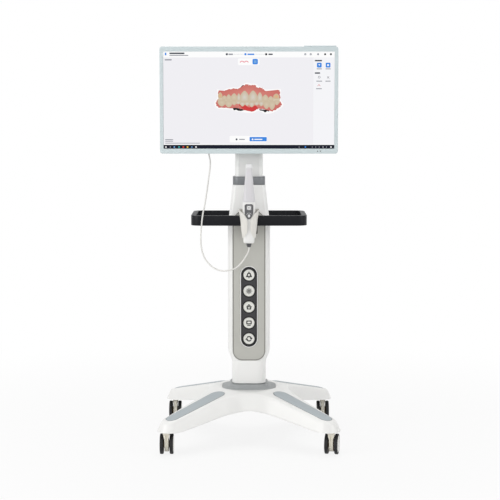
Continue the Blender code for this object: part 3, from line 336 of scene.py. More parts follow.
def applyTree(piece, tree, values):
    modifier = piece.modifiers.new(tree.name, "NODES")
    modifier.node_group = tree
    sockets = {item.name: item for item in tree.interface.items_tree if item.in_out == "INPUT"}
    for label, value in values.items():
        modifier[sockets[label].identifier] = value
    return bakedMesh(piece)


# Copies of one shape on each point of the geometry
def repeatTree(name, paint):
    tree, given = newTree(name, (("Shape", "Object", None), ("Turn", "Rotation", None)))
    shape = addNode(tree, "GeometryNodeObjectInfo", {"Object": given["Shape"]})
    copies = {"Points": given["Geometry"], "Instance": shape.outputs["Geometry"], "Rotation": given["Turn"]}
    return endTree(tree, addNode(tree, "GeometryNodeInstanceOnPoints", copies), paint)


def repeatedMesh(name, shape, points, turn, paint):
    cloud = bpy.data.meshes.new(name)
    cloud.from_pydata([tuple(point) for point in points], [], [])
    sample = temporary(shape)
    mesh = applyTree(temporary(cloud), repeatTree(name, paint), {"Shape": sample, "Turn": turn})
    bpy.data.objects.remove(sample, do_unlink=True)
    return mesh


def tubeTree(name, paint):
    tree, given = newTree(name, (("Radius", "Float", 0.002), ("Sides", "Int", 12)))
    line = addNode(tree, "GeometryNodeMeshToCurve", {"Mesh": given["Geometry"]})
    profile = {"Radius": given["Radius"], "Resolution": given["Sides"]}
    profile = addNode(tree, "GeometryNodeCurvePrimitiveCircle", profile)
    sweep = {"Curve": line, "Profile Curve": profile, "Fill Caps": True}
    return endTree(tree, addNode(tree, "GeometryNodeCurveToMesh", sweep), paint)


def tubeMesh(name, points, radius, paint, sides=14):
    line = bpy.data.meshes.new(name)
    edges = [(i, i + 1) for i in range(len(points) - 1)]
    line.from_pydata([tuple(point) for point in points], edges, [])
    mesh = applyTree(temporary(line), tubeTree(name, paint), {"Radius": radius, "Sides": sides})
    bm = bmesh.new()
    bm.from_mesh(mesh)
    bmesh.ops.remove_doubles(bm, verts=bm.verts[:], dist=0.000001)
    return meshFrom(bm)


# Materials

# Colour, roughness, mottling, grain scale, bump, coat and specular level of each moulded finish
surfaceRows = (
    ("whiteShell", (0.845, 0.845, 0.832), 0.36, 0.012, 900, 0.02, 0.22, 0.5),
    # painted highlight: a brighter copy of whiteShell for the cowl's sides, standing for their lit look
    ("cowlSide", (0.930, 0.930, 0.922), 0.36, 0.008, 900, 0.02, 0.22, 0.5),
    ("whitePaint", (0.880, 0.880, 0.868), 0.40, 0.012, 1400, 0.03, 0.12, 0.5),
    ("insertGrey", (0.415, 0.458, 0.482), 0.52, 0.03, 1600, 0.10, 0.0, 0.4),
    # painted shade for the groove round each leg insert
    ("insertEdge", (0.200, 0.216, 0.226), 0.56, 0.03, 1600, 0.10, 0.0, 0.3),
    # more neutral grey, darkened as painted shade for the shadow under the column
    ("centerGrey", (0.345, 0.360, 0.366), 0.52, 0.03, 1600, 0.10, 0.0, 0.4),
    ("panelGrey", (0.500, 0.498, 0.462), 0.48, 0.03, 1500, 0.08, 0.0, 0.4),
    # painted shade along the edge of the front panel
    ("panelEdge", (0.250, 0.248, 0.230), 0.50, 0.03, 1500, 0.08, 0.0, 0.3),
    # painted shade: light grey for the front of the upper column, beside its white sides
    ("faceGrey", (0.790, 0.790, 0.780), 0.48, 0.02, 1500, 0.06, 0.0, 0.4),
    ("stripDark", (0.040, 0.039, 0.043), 0.46, 0.05, 900, 0.04, 0.0, 0.3),
    ("stripRing", (0.007, 0.007, 0.008), 0.42, 0.05, 900, 0.02, 0.0, 0.25),
    ("stripRim", (0.93, 0.93, 0.92), 0.35, 0.02, 900, 0.02, 0.2, 0.5),
    ("keyFace", (0.760, 0.758, 0.720), 0.44, 0.02, 1800, 0.05, 0.0, 0.4),
    ("keySign", (0.028, 0.028, 0.031), 0.60, 0.05, 1800, 0.02, 0.0, 0.2),
    ("handleBlack", (0.005, 0.0055, 0.008), 0.42, 0.25, 1300, 0.10, 0.0, 0.17),
    ("holderWhite", (0.770, 0.757, 0.715), 0.50, 0.02, 1500, 0.08, 0.0, 0.4),
    ("clampDark", (0.050, 0.042, 0.036), 0.62, 0.2, 1200, 0.15, 0.0, 0.3),
    ("tipLavender", (0.655, 0.645, 0.668), 0.38, 0.02, 1500, 0.04, 0.1, 0.5),
    ("tipPale", (0.735, 0.733, 0.745), 0.34, 0.02, 1500, 0.03, 0.1, 0.5),
    ("padGrey", (0.122, 0.123, 0.130), 0.52, 0.06, 1700, 0.1, 0.0, 0.35),
    ("padDark", (0.050, 0.050, 0.055), 0.50, 0.05, 1700, 0.08, 0.0, 0.4),
    ("buttonWhite", (0.80, 0.80, 0.80), 0.4, 0.02, 1700, 0.04, 0.0, 0.4),
    ("bezelBlue", (0.600, 0.680, 0.700), 0.44, 0.012, 1500, 0.025, 0.0, 0.4),
    ("backBlue", (0.560, 0.635, 0.650), 0.52, 0.03, 700, 0.18, 0.0, 0.4),
    ("castorCream", (0.800, 0.765, 0.665), 0.45, 0.05, 1100, 0.08, 0.0, 0.4),
    ("wheelBlack", (0.012, 0.012, 0.013), 0.55, 0.3, 900, 0.15, 0.0, 0.3),
    ("wheelHub", (0.120, 0.075, 0.035), 0.50, 0.25, 900, 0.1, 0.0, 0.3),
    ("wheelCap", (0.790, 0.785, 0.750), 0.40, 0.03, 1100, 0.05, 0.0, 0.4),
    ("cableGrey", (0.770, 0.760, 0.735), 0.50, 0.03, 2200, 0.08, 0.0, 0.4),
    ("portBlack", (0.015, 0.015, 0.017), 0.50, 0.2, 1500, 0.1, 0.0, 0.3),
    # painted shade inside the vent slots
    ("ventDark", (0.030, 0.033, 0.036), 0.70, 0.1, 900, 0.05, 0.0, 0.2),
)
surfaceParts = ("color", "rough", "mottle", "grain", "bump", "coat", "specular")
surfaces = {name: dict(zip(surfaceParts, values)) for name, *values in surfaceRows}
metals = {
    "collarMetal": {"color": (0.195, 0.205, 0.216), "rough": 0.34, "streak": (4, 4, 900), "metallic": 0.4},
    "frameSteel": {"color": (0.10, 0.10, 0.11), "rough": 0.5, "streak": (900, 900, 900), "metallic": 0.5},
    "brightSteel": {"color": (0.62, 0.62, 0.64), "rough": 0.26, "streak": (30, 900, 900), "metallic": 1.0},
    "mirrorGlass": {"color": (0.25, 0.28, 0.33), "rough": 0.06, "streak": (200, 200, 200), "metallic": 0.7},
}
display = {"color": (0.004, 0.004, 0.005), "strength": 0.97, "specular": 0.04, "rows": 3000.0}


def shaderBase(name):
    material = bpy.data.materials.new(name)
    material.use_nodes = True
    tree = material.node_tree
    place = addNode(tree, "ShaderNodeTexCoord").outputs["Object"]
    return material, tree, tree.nodes["Principled BSDF"], place


def noiseNode(tree, vector, scale, detail, rough=0.55):
    look = {"Vector": vector, "Scale": scale, "Detail": detail, "Roughness": rough}
    return addNode(tree, "ShaderNodeTexNoise", look)


# The middle of a noise, spread between two values
def spread(tree, value, low, high):
    span = {"Value": value, "From Min": 0.3, "From Max": 0.7, "To Min": low, "To Max": high}
    return addNode(tree, "ShaderNodeMapRange", span)


def tinted(tree, color, variation, factor):
    dark = (*(c * (1 - variation) for c in color), 1)
    light = (*(min(1.0, c * (1 + variation)) for c in color), 1)
    mix = {"A": dark, "B": light, "Factor": factor}
    return addNode(tree, "ShaderNodeMix", mix, data_type="RGBA").outputs["Result"]


def bumped(tree, height, strength):
    bump = {"Height": height, "Strength": strength, "Distance": 0.0004}
    return addNode(tree, "ShaderNodeBump", bump)


# Moulded plastic or paint: broad tone, fine moulding grain and faint handling marks
def plasticMaterial(name, look):
    material, tree, shader, place = shaderBase(name)
    broad = noiseNode(tree, place, 9.0, 4.0)
    grain = noiseNode(tree, place, look["grain"], 2.0)
    marks = noiseNode(tree, place, 55.0, 5.0, 0.7)
    inputs = {
        "Base Color": tinted(tree, look["color"], look["mottle"], broad),
        "Roughness": spread(tree, marks, look["rough"] - 0.05, look["rough"] + 0.07),
        "Coat Weight": look["coat"],
        "Coat Roughness": 0.12,
        "Specular IOR Level": look["specular"],
        "Normal": bumped(tree, grain, look["bump"]),
    }
    setInputs(tree, shader, inputs)
    return material


# Metal with a grain drawn along one direction
def metalMaterial(name, look):
    material, tree, shader, place = shaderBase(name)
    stretched = addNode(tree, "ShaderNodeMapping", {"Vector": place, "Scale": look["streak"]})
    streak = noiseNode(tree, stretched.outputs["Vector"], 1.0, 4.0)
    inputs = {
        "Base Color": tinted(tree, look["color"], 0.10, noiseNode(tree, place, 14.0, 4.0)),
        "Roughness": spread(tree, streak, look["rough"] - 0.06, look["rough"] + 0.08),
        "Metallic": look["metallic"],
        "Normal": bumped(tree, streak, 0.06),
    }
    setInputs(tree, shader, inputs)
    return material


# Lit display: the colour painted on the picture, with a gloss that its pixel rows vary faintly
def displayMaterial(name, look):
    material, tree, shader, place = shaderBase(name)
    inputs = {
        "Base Color": (*look["color"], 1),
        "Emission Color": addNode(tree, "ShaderNodeAttribute", attribute_name="tint"),
        "Emission Strength": look["strength"],
        "Specular IOR Level": look["specular"],
        "Roughness": spread(tree, noiseNode(tree, place, look["rows"], 1.0), 0.16, 0.24),
    }
    setInputs(tree, shader, inputs)
    return material


materials = {name: plasticMaterial(name, look) for name, look in surfaces.items()}
materials.update({name: metalMaterial(name, look) for name, look in metals.items()})
materials["litPicture"] = displayMaterial("litPicture", display)
print("materials made")


# Camera, from the photograph's framing

cameraView = {
    "distance": 4.15,
    "height": 1.008,
    "sideways": 0.0032,
    "pitchDegrees": 5.604,
    "focalLength": 94.33,
    "sensorWidth": 36.0,
    "clipEnd": 60,
}


def addCamera(view):
    camera = bpy.data.objects.new("camera", bpy.data.cameras.new("camera"))
    camera.data.lens = view["focalLength"]
    camera.data.sensor_width = view["sensorWidth"]
    camera.data.clip_end = view["clipEnd"]
    pitch = Matrix.Rotation(math.radians(90 - view["pitchDegrees"]), 4, "X")
    camera.matrix_world = Matrix.Translation((view["sideways"], -view["distance"], view["height"])) @ pitch
    scene.collection.objects.link(camera)
    scene.camera = camera


addCamera(cameraView)

# Studio: white surroundings, pale floor, large soft lights

studio = {
    "surround": 0.40,
    "floorColor": (0.80, 0.80, 0.80),
    "floorSize": 20,
    "floorHeight": -0.0005,
    "floorFade": (0.45, 1.9),
    "floorLift": 0.86,
    "lightColor": (1.0, 0.995, 0.985),
    "lightAim": (0, 0, 0.6),
    "lights": (
        ("keyLight", (-3.1, -2.0, 1.6), 2.2, 60.0),
        ("fillLight", (3.1, -1.9, 1.5), 2.2, 36.0),
        ("frontLight", (0.0, -3.6, 1.4), 1.6, 12.0),
        ("topLight", (0.0, 0.4, 3.2), 2.2, 38.0),
    ),
}


# 1 for the rays of the camera, of glossy surfaces and of glass
def seenRays(tree):
    ray = addNode(tree, "ShaderNodeLightPath").outputs
    both = mathNode(tree, "MAXIMUM", ray["Is Camera Ray"], ray["Is Glossy Ray"])
    return mathNode(tree, "MAXIMUM", both, ray["Is Transmission Ray"])


def addSurround(setup):
    world = bpy.data.worlds.new("studio")
    scene.world = world
    world.use_nodes = True
    tree = world.node_tree
    white = (1, 1, 1, 1)
    light = setInputs(tree, tree.nodes["Background"], {"Color": white, "Strength": setup["surround"]})
    seen = addNode(tree, "ShaderNodeBackground", {"Color": white})
    mix = addNode(tree, "ShaderNodeMixShader", {"Fac": seenRays(tree), 1: light, 2: seen})
    setInputs(tree, tree.nodes["World Output"], {"Surface": mix})


def addLights(setup):
    for name, place, size, power in setup["lights"]:
        lamp = bpy.data.lights.new(name, "AREA")
        lamp.energy = power
        lamp.size = size
        lamp.color = setup["lightColor"]
        stand = bpy.data.objects.new(name, lamp)
        stand.location = place
        aim = Vector(setup["lightAim"]) - Vector(place)
        stand.rotation_mode = "QUATERNION"
        stand.rotation_quaternion = aim.to_track_quat("-Z", "Y")
        scene.collection.objects.link(stand)


# Lit floor near the object, turning into plain white for the camera further out
def addFloor(setup):
    bm = bmesh.new()
    bmesh.ops.create_grid(bm, x_segments=4, y_segments=4, size=setup["floorSize"])
    mesh = meshFrom(bm)
    material, tree, shader, place = shaderBase("paleFloor")
    look = {"Base Color": (*setup["floorColor"], 1), "Roughness": 0.7, "Specular IOR Level": 0.1}
    setInputs(tree, shader, look)
    reach = addNode(tree, "ShaderNodeVectorMath", {0: place}, operation="LENGTH").outputs["Value"]
    near, far = setup["floorFade"]
    fade = {"Value": reach, "From Min": near, "From Max": far, "To Min": setup["floorLift"]}
    fade = addNode(tree, "ShaderNodeMapRange", fade, interpolation_type="SMOOTHSTEP").outputs["Result"]
    seen = mathNode(tree, "MULTIPLY", fade, seenRays(tree))
    white = addNode(tree, "ShaderNodeEmission")
    mix = addNode(tree, "ShaderNodeMixShader", {"Fac": seen, 1: shader, 2: white})
    setInputs(tree, tree.nodes["Material Output"], {"Surface": mix})
    mesh.materials.append(material)
    floor = bpy.data.objects.new("floor", mesh)
    floor.location = (0, 0, setup["floorHeight"])
    scene.collection.objects.link(floor)


addSurround(studio)
addLights(studio)
addFloor(studio)
scene.view_settings.view_transform = "Standard"
print("camera and studio made")

# Cable: from the handpiece round its hanging loop, over the handle, up behind the monitor into a
# coil on the hook, and on to the plug

cable = {
    "diameter": 0.0046,
    "coilCenter": (-0.11571, 0.005, 0.98805),
    "coilRadius": 0.0255,
    "turns": 8.2,
    "turnPoints": 32,
    "startAngle": 291,
    "layers": ((-1, 1), (-1, 0), (-1, -1), (0, -1), (1, -1), (1, 0), (0, 0), (0, 1), (1, 1)),
    "lastMove": 0.25,
    "moveLength": 0.092,
    "tieAngle": 40,
    "tieWidth": 0.007,
    "tieTurns": 3.12,
    "tieThickness": 0.0008,
    "tieCorner": 0.0022,
    "tieHead": (0.0045, 0.0030),
    "layerPitch": 1.02,
}
runPoints = [
    (0.0, -0.1500, 0.6244), (-0.0010, -0.1500, 0.6144), (-0.0075, -0.1500, 0.6000),
    (-0.0215, -0.1490, 0.5780), (-0.0420, -0.1470, 0.5590), (-0.0675, -0.1440, 0.5508),
    (-0.0900, -0.1410, 0.5515), (-0.1130, -0.1380, 0.5620), (-0.1340, -0.1355, 0.5850),
    (-0.1455, -0.1340, 0.6160), (-0.1484, -0.1332, 0.6506), (-0.1465, -0.1325, 0.6820),
    (-0.1443, -0.1310, 0.7060), (-0.1425, -0.1268, 0.7205), (-0.1407, -0.1170, 0.7320),
    (-0.1375, -0.1010, 0.7480), (-0.1322, -0.0770, 0.7820), (-0.1266, -0.0590, 0.8260),
    (-0.1220, -0.0480, 0.8620), (-0.1214, -0.0420, 0.8850), (-0.1255, -0.0375, 0.9060),
    (-0.1250, -0.0358, 0.9230), (-0.1237, -0.0312, 0.93775), (-0.1219, -0.0220, 0.94535),
    (-0.1210, -0.0122, 0.94905), (-0.1206, -0.0026, 0.95275),
]
leadPoints = [
    (-0.1109, 0.0355, 1.01055), (-0.1098, 0.0360, 1.02405), (-0.1058, 0.0335, 1.0468),
    (-0.0988, 0.0245, 1.0578), (-0.0885, -0.0059, 1.0598), (-0.0852, -0.0159, 1.0598),
    (-0.0850, -0.0229, 1.0598),
]


# Turns side by side and on each other; each turn steps to its next layer at a place of its own
def coilPoints():
    center = Vector(cable["coilCenter"])
    layers = cable["layers"]
    steps = round(cable["turns"] * cable["turnPoints"])
    points = []
    for step in range(steps + 1):
        done = step / cable["turnPoints"]
        turn = min(int(done), len(layers) - 1)
        here = Vector(layers[turn])
        there = Vector(layers[min(turn + 1, len(layers) - 1)])
        start = cable["lastMove"] + (len(layers) - 2 - turn) * cable["moveLength"]
        share = min(1.0, max(0.0, (done - turn - start) / cable["moveLength"]))
        layer = here.lerp(there, share * share * (3 - 2 * share)) * cable["diameter"] * cable["layerPitch"]
        angle = math.radians(cable["startAngle"]) + 2 * math.pi * done
        radius = cable["coilRadius"] + layer.y
        points.append(center + Vector((layer.x, radius * math.cos(angle), radius * math.sin(angle))))
    return points


def lengthOf(points):
    return sum((Vector(a) - Vector(b)).length for a, b in zip(points, points[1:]))


# Moulded strap round the coil's bundle, with its head outside
def coilTie():
    width = cable["diameter"] * cable["tieTurns"]
    corner, thickness = cable["tieCorner"], cable["tieThickness"]
    outer = roundedRectangle(width + 2 * thickness, width + 2 * thickness, corner + thickness, 6)
    strap = slabMesh([outer, roundedRectangle(width, width, corner, 6)], cable["tieWidth"])
    head = blockMesh(*cable["tieHead"], cable["tieWidth"] * 1.25)
    angle = math.radians(cable["tieAngle"])
    outwards = Vector((0, math.cos(angle), math.sin(angle)))
    along = Vector((0, -math.sin(angle), math.cos(angle)))
    place = Matrix((Vector((1, 0, 0)), outwards, along)).transposed().to_4x4()
    middle = Vector(cable["coilCenter"]) + outwards * cable["coilRadius"]
    place.translation = middle - along * cable["tieWidth"] / 2
    headPlace = place @ Matrix.Translation((0, width / 2 + 2 * thickness, cable["tieWidth"] / 2))
    mesh = shaped(strap, place, 0.0003, 2, joins=[(head, headPlace)])
    return addPiece("coilTie", mesh, "lift", "portBlack")


def addCables():
    radius = cable["diameter"] / 2
    coil = coilPoints()
    entry = coil[0] - (coil[1] - coil[0]) * 0.5
    path = smoothCurve(runPoints, 4) + [Vector(runPoints[-1]).lerp(entry, 0.5)] + coil
    mesh = tubeMesh("scannerCable", path, radius, "cableGrey")
    lead = addPiece("scannerCable", mesh, None, "cableGrey", ("cord_run", "cord_coil"), 60)
    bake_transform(lead)
    coilTie()
    tail = [coil[-1]] + smoothCurve(leadPoints, 4)
    mesh = tubeMesh("plugLead", tail, radius, "cableGrey")
    end = addPiece("plugLead", mesh, None, "cableGrey", ("cord_lead",), 60)
    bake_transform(end)
    print("cable lengths", round(lengthOf(path), 4), round(lengthOf(tail), 4))


addCables()
print("cables made")

# Base cover: four sloping legs whose heights follow a rule

base = {
    "tipReach": 0.338,
    "tipRadius": 0.0399,
    "notchReach": 0.140,
    "notchRadius": 0.140,
    "skirtBottom": 0.0725,
    "skirtRise": 0.0375,
    "riseMargin": 0.012,
    "deckHeight": 0.164,
    "deckReach": 0.105,
    "endHeight": 0.0356,
    "wall": 0.0045,
    "creaseBlend": 0.012,
    "skirtProfile": (
        (0.0, 0.0), (0.0056, 0.42), (0.0094, 0.70), (0.0130, 0.88), (0.0164, 0.97), (0.0202, 1.0),
    ),
    "inside": ((0.0035, 0.0), (0.0100, 0.62), (0.0220, 1.0)),
    "groove": 0.0011,
    "grooveDepth": 0.0034,
}
baseSlope = base["deckHeight"] - base["skirtBottom"] - base["endHeight"]
baseSlope /= base["tipReach"] - base["deckReach"]
baseTilt = math.atan(baseSlope)


# Half of a leg's edge, from its tip to the middle of the notch beside it
def legEdge(inset):
    tip = base["tipRadius"] - inset
    notch = base["notchRadius"] + inset
    center = (base["notchReach"] + base["notchRadius"]) / math.sqrt(2)
    distance = math.hypot(center - base["tipReach"], center)
    bearing = math.atan2(center, center - base["tipReach"])
    degrees = math.degrees(bearing - math.acos((tip + notch) / distance))
    points = arcPoints(base["tipReach"], 0, tip, 0, degrees, 14)
    start = Vector(points[-1])
    notchArc = arcPoints(center, center, notch, 180 + degrees, 225, 18)
    points += [tuple(start.lerp(Vector(notchArc[0]), step / 6)) for step in range(1, 6)]
    return points + notchArc


def crossRing(inset):
    half = legEdge(inset)
    oneLeg = [(u, -v) for u, v in reversed(half)] + half[1:-1]
    ring = []
    for quarter in range(4):
        turn = Matrix.Rotation(math.radians(45 + 90 * quarter), 2)
        ring += [tuple(turn @ Vector(point)) for point in oneLeg]
    return ring


# Rungs across each leg, and one square between the four notches
def fillCross(bm, row):
    perLeg = len(row) // 4
    half = perLeg // 2
    for quarter in range(4):
        first = quarter * perLeg
        for i in range(half):
            near = row[first + i]
            nearNext = row[first + i + 1]
            far = row[(first + perLeg - i) % len(row)]
            farNext = row[first + perLeg - i - 1]
            corners = [near, nearNext, far] if nearNext is farNext else [near, nearNext, farNext, far]
            bm.faces.new(corners)
    bm.faces.new([row[quarter * perLeg] for quarter in range(4)])


# Heights of the cover: from the rising skirt to the sloping top, by each point's share
def coverTree():
    inputs = {
        "Deck Height": base["deckHeight"],
        "Deck Reach": base["deckReach"],
        "Slope": baseSlope,
        "Skirt Bottom": base["skirtBottom"],
        "Skirt Rise": base["skirtRise"],
        "Rise Start": base["tipReach"] - base["riseMargin"],
        "Crease": base["creaseBlend"],
    }
    tree, given = newTree("coverHeights", [(label, "Float", value) for label, value in inputs.items()])

    def calc(operation, *values):
        return mathNode(tree, operation, *values)

    position = addNode(tree, "GeometryNodeInputPosition")
    x, y, _ = addNode(tree, "ShaderNodeSeparateXYZ", {"Vector": position}).outputs
    along = calc("DIVIDE", calc("ADD", calc("ABSOLUTE", x), calc("ABSOLUTE", y)), math.sqrt(2))
    down = calc("SMOOTH_MAX", calc("SUBTRACT", along, given["Deck Reach"]), 0.0, given["Crease"])
    top = calc("SUBTRACT", given["Deck Height"], calc("MULTIPLY", down, given["Slope"]))
    span = calc("SUBTRACT", given["Rise Start"], given["Deck Reach"])
    rising = calc("DIVIDE", calc("SUBTRACT", given["Rise Start"], along), span)
    rising = calc("MINIMUM", calc("MAXIMUM", rising, 0.0), 1.0)
    low = calc("ADD", given["Skirt Bottom"], calc("MULTIPLY", rising, given["Skirt Rise"]))
    share = addNode(tree, "GeometryNodeInputNamedAttribute", {"Name": "share"})
    drop = addNode(tree, "GeometryNodeInputNamedAttribute", {"Name": "drop"})
    room = calc("SUBTRACT", calc("SUBTRACT", top, drop), low)
    height = calc("MULTIPLY_ADD", room, share, low)
    place = addNode(tree, "ShaderNodeCombineXYZ", {"X": x, "Y": y, "Z": height})
    raised = {"Geometry": given["Geometry"], "Position": place}
    return endTree(tree, addNode(tree, "GeometryNodeSetPosition", raised), "whiteShell")


# Frame on the sloping top of one leg, with X down the leg
def legFrame(quarter, lift):
    turn = Matrix.Rotation(math.radians(45 + 90 * quarter), 4, "Z")
    start = Matrix.Translation((base["deckReach"], 0, base["deckHeight"]))
    tilt = Matrix.Rotation(baseTilt, 4, "Y")
    return turn @ start @ tilt @ Matrix.Translation((0, 0, lift))


inserts = {
    "thickness": 0.0029,
    "recess": 0.0023,
    "margin": 0.0190,
    "widening": 0.0048,
    "start": 0.1445,
    "endMargin": 0.010,
    "crown": 0.0020,
    "edge": 0.0011,
    "crownWidth": 0.0170,
    "centerSize": (0.170, 0.146, 0.052),
    "footWidth": 0.107,
    "columnDepth": 0.110,
    "bossTop": 0.1775,
}


def insertOutline(grow):
    stretch = 1 / math.cos(baseTilt)
    start = (inserts["start"] - base["deckReach"]) * stretch
    end = (base["tipReach"] - inserts["endMargin"] - base["deckReach"]) * stretch
    endRadius = base["tipRadius"] - inserts["margin"]
    startRadius = endRadius + inserts["widening"]
    return taperedCapsule(start, startRadius + grow, end, endRadius + grow, 24)


def addBaseCover():
    bm = bmesh.new()
    share = bm.verts.layers.float.new("share")
    drop = bm.verts.layers.float.new("drop")
    profile = [tuple(row) for row in smoothCurve(base["skirtProfile"], 3)]
    rows = []
    for edges, lowering in ((list(reversed(profile)), 0.0), (base["inside"], base["wall"])):
        for inset, part in edges:
            row = [bm.verts.new((x, y, 0)) for x, y in crossRing(inset)]
            for vert in row:
                vert[share] = min(1.0, part)
                vert[drop] = lowering
            rows.append(row)
    bridgeRows(bm, rows)
    fillCross(bm, rows[0])
    fillCross(bm, rows[-1])
    flat = bpy.data.meshes.new("coverPlan")
    bm.to_mesh(flat)
    bm.free()
    mesh = applyTree(temporary(flat), coverTree(), {})
    for name in ("share", "drop"):
        mesh.attributes.remove(mesh.attributes[name])
    bm = bmesh.new()
    bm.from_mesh(mesh)
    mesh = meshFrom(bm)
    width, depth, corner = inserts["centerSize"]
    grow = base["groove"]
    center = roundedRectangle(width + 2 * grow, depth + 2 * grow, corner + grow, 20)
    cuts = [(slabMesh([center], 0.02), level(base["deckHeight"] - base["grooveDepth"]))]
    for quarter in range(4):
        cutter = slabMesh([insertOutline(grow)], 0.02)
        cuts.append((cutter, legFrame(quarter, -base["grooveDepth"])))
    mesh = shaped(mesh, bevel=0.0007, segments=2, angle=50, cuts=cuts)
    addPiece("smoothCover", mesh, "stand", "whiteShell", ("base_cover",), 40)


# Thin strip with rounded edges and a slightly raised middle; its side walls get a dark grey, painted shade
# for the groove round the insert
def insertMesh():
    thickness, edge, crown = inserts["thickness"], inserts["edge"], inserts["crown"]
    rows = [(0.0, 0.0), (0.0, thickness - edge)]
    rows += [(-0.3 * edge, thickness - 0.3 * edge), (-edge, thickness)]
    for step in range(1, 7):
        share = step / 6
        inward = edge + share * inserts["crownWidth"]
        rows.append((-inward, thickness + crown * math.sin(share * math.pi / 2)))
    mesh = loftMesh([[(x, y, z) for x, y in insertOutline(grow)] for grow, z in rows])
    paintFaces(mesh, 1, lambda item: item.normal.z < 0.8)
    return mesh


def addInserts():
    paints = ["insertGrey", "insertEdge"]
    for quarter, name in enumerate(("rear_right", "rear_left", "front_left", "front_right")):
        mesh = insertMesh()
        mesh.transform(legFrame(quarter, -inserts["recess"]))
        node = f"leg_insert_{name}"
        addPiece(f"smooth_{node}", mesh, "stand", paints, (node,))


# Flat plate with a flared neck that the column stands on; its grey is more neutral than the leg inserts' and
# darkened as painted shade for the shadow under the column
def addCenterInsert():
    width, depth, corner = inserts["centerSize"]
    foot = inserts["footWidth"]
    columnDepth = inserts["columnDepth"]
    top = base["deckHeight"] - inserts["recess"] + inserts["thickness"]
    boss = inserts["bossTop"]
    neck = (
        (foot + 0.030, columnDepth + 0.016, 0.040, top + 0.0012),
        (foot + 0.018, columnDepth + 0.011, 0.036, top + 0.0060),
        (foot + 0.012, columnDepth + 0.008, 0.032, boss - 0.001),
        (foot + 0.009, columnDepth + 0.005, 0.031, boss),
    )
    sizes = [
        (width, depth, corner, top - inserts["thickness"]),
        (width, depth, corner, top - 0.0010),
        (width - 0.0006, depth - 0.0006, corner, top - 0.0003),
        (width - 0.002, depth - 0.002, corner - 0.001, top),
        (foot + 0.036, columnDepth + 0.020, 0.042, top + 0.0002),
        *smoothCurve(neck, 4),
        (foot - 0.009, columnDepth - 0.009, 0.022, boss),
        (foot - 0.009, columnDepth - 0.009, 0.022, boss + 0.0032),
    ]
    mesh = loftMesh(ringsAt(sizes, steps=16))
    addPiece("smoothCenterInsert", mesh, "stand", "centerGrey", ("center_insert",))


addBaseCover()
addInserts()
addCenterInsert()
print("base made")


# Column: lower part, front panel, key strip and keys

column = {
    "width": 0.133,
    "depth": 0.110,
    "corner": 0.026,
    "footWidth": 0.107,
    "bottom": 0.181,
    "footTop": 0.245,
    "taperTop": 0.291,
    "taperSteps": 16,
    "top": 0.7027,
    "panelWidth": 0.1028,
    "panelBottom": 0.255,
    "panelCorner": 0.030,
    "panelShoulder": 0.695,
    "panelArch": 0.042,
    "panelBack": -0.0518,
    "panelThickness": 0.003,
    "panelBevel": 0.0006,
    "panelSeat": 0.0036,
    "panelLine": (0.0006, 0.0034, 0.00012),
    "seam": 0.0009,
    "well": (0.0884, 0.0654, 0.0167),
    "wellBottom": 0.544,
}
strip = {
    "width": 0.0496,
    "length": 0.2536,
    "center": 0.426,
    "thickness": 0.0055,
    "rim": 0.0026,
    "keyRadius": 0.0172,
    "keyPitch": 0.0507,
    "keyGap": 0.0008,
    "dish": 0.0007,
    "sign": 0.0002,
    "signScale": 1.22,
}


def panelOutline(grow, steps=14):
    half = column["panelWidth"] / 2 + grow
    low = column["panelBottom"] - grow
    corner = column["panelCorner"] + grow
    rise = column["panelArch"] + grow
    points = arcPoints(-half + corner, low + corner, corner, 180, 270, steps)
    points += arcPoints(half - corner, low + corner, corner, 270, 360, steps)
    for step in range(4 * steps + 1):
        angle = math.pi * step / (4 * steps)
        points.append((half * math.cos(angle), column["panelShoulder"] + rise * math.sin(angle)))
    return points


def stripOutline(grow):
    radius = strip["width"] / 2 + grow
    half = (strip["length"] - strip["width"]) / 2
    upper = arcPoints(0, strip["center"] + half, radius, 0, 180, 36)
    return upper + arcPoints(0, strip["center"] - half, radius, 180, 360, 36)


def keyHeights():
    return [strip["center"] + strip["keyPitch"] * (2 - i) for i in range(5)]


def addLowerColumn():
    depth, corner, foot = column["depth"], column["corner"], column["footWidth"]
    rows = [
        (foot - 0.003, depth - 0.003, corner, column["bottom"]),
        (foot - 0.0008, depth - 0.0008, corner, column["bottom"] + 0.0005),
        (foot, depth, corner, column["bottom"] + 0.0018),
        (foot, depth, corner, column["footTop"]),
    ]
    for step in range(1, column["taperSteps"] + 1):
        share = step / column["taperSteps"]
        width = foot + (column["width"] - foot) * share * share * (3 - 2 * share)
        height = column["footTop"] + (column["taperTop"] - column["footTop"]) * share
        rows.append((width, depth, corner, height))
    rows.append((column["width"], depth, corner, column["top"]))
    panelSeat = upright(-depth / 2 + column["panelSeat"])
    cuts = [
        (slabMesh([panelOutline(column["seam"])], 0.02), panelSeat),
        (slabMesh([roundedRectangle(*column["well"])], 0.2), level(column["wellBottom"])),
    ]
    mesh = shaped(loftMesh(ringsAt(rows)), bevel=0.0006, segments=2, angle=50, cuts=cuts)
    addPiece("smoothColumn", mesh, "stand", "whitePaint", ("lower_column",), 40)


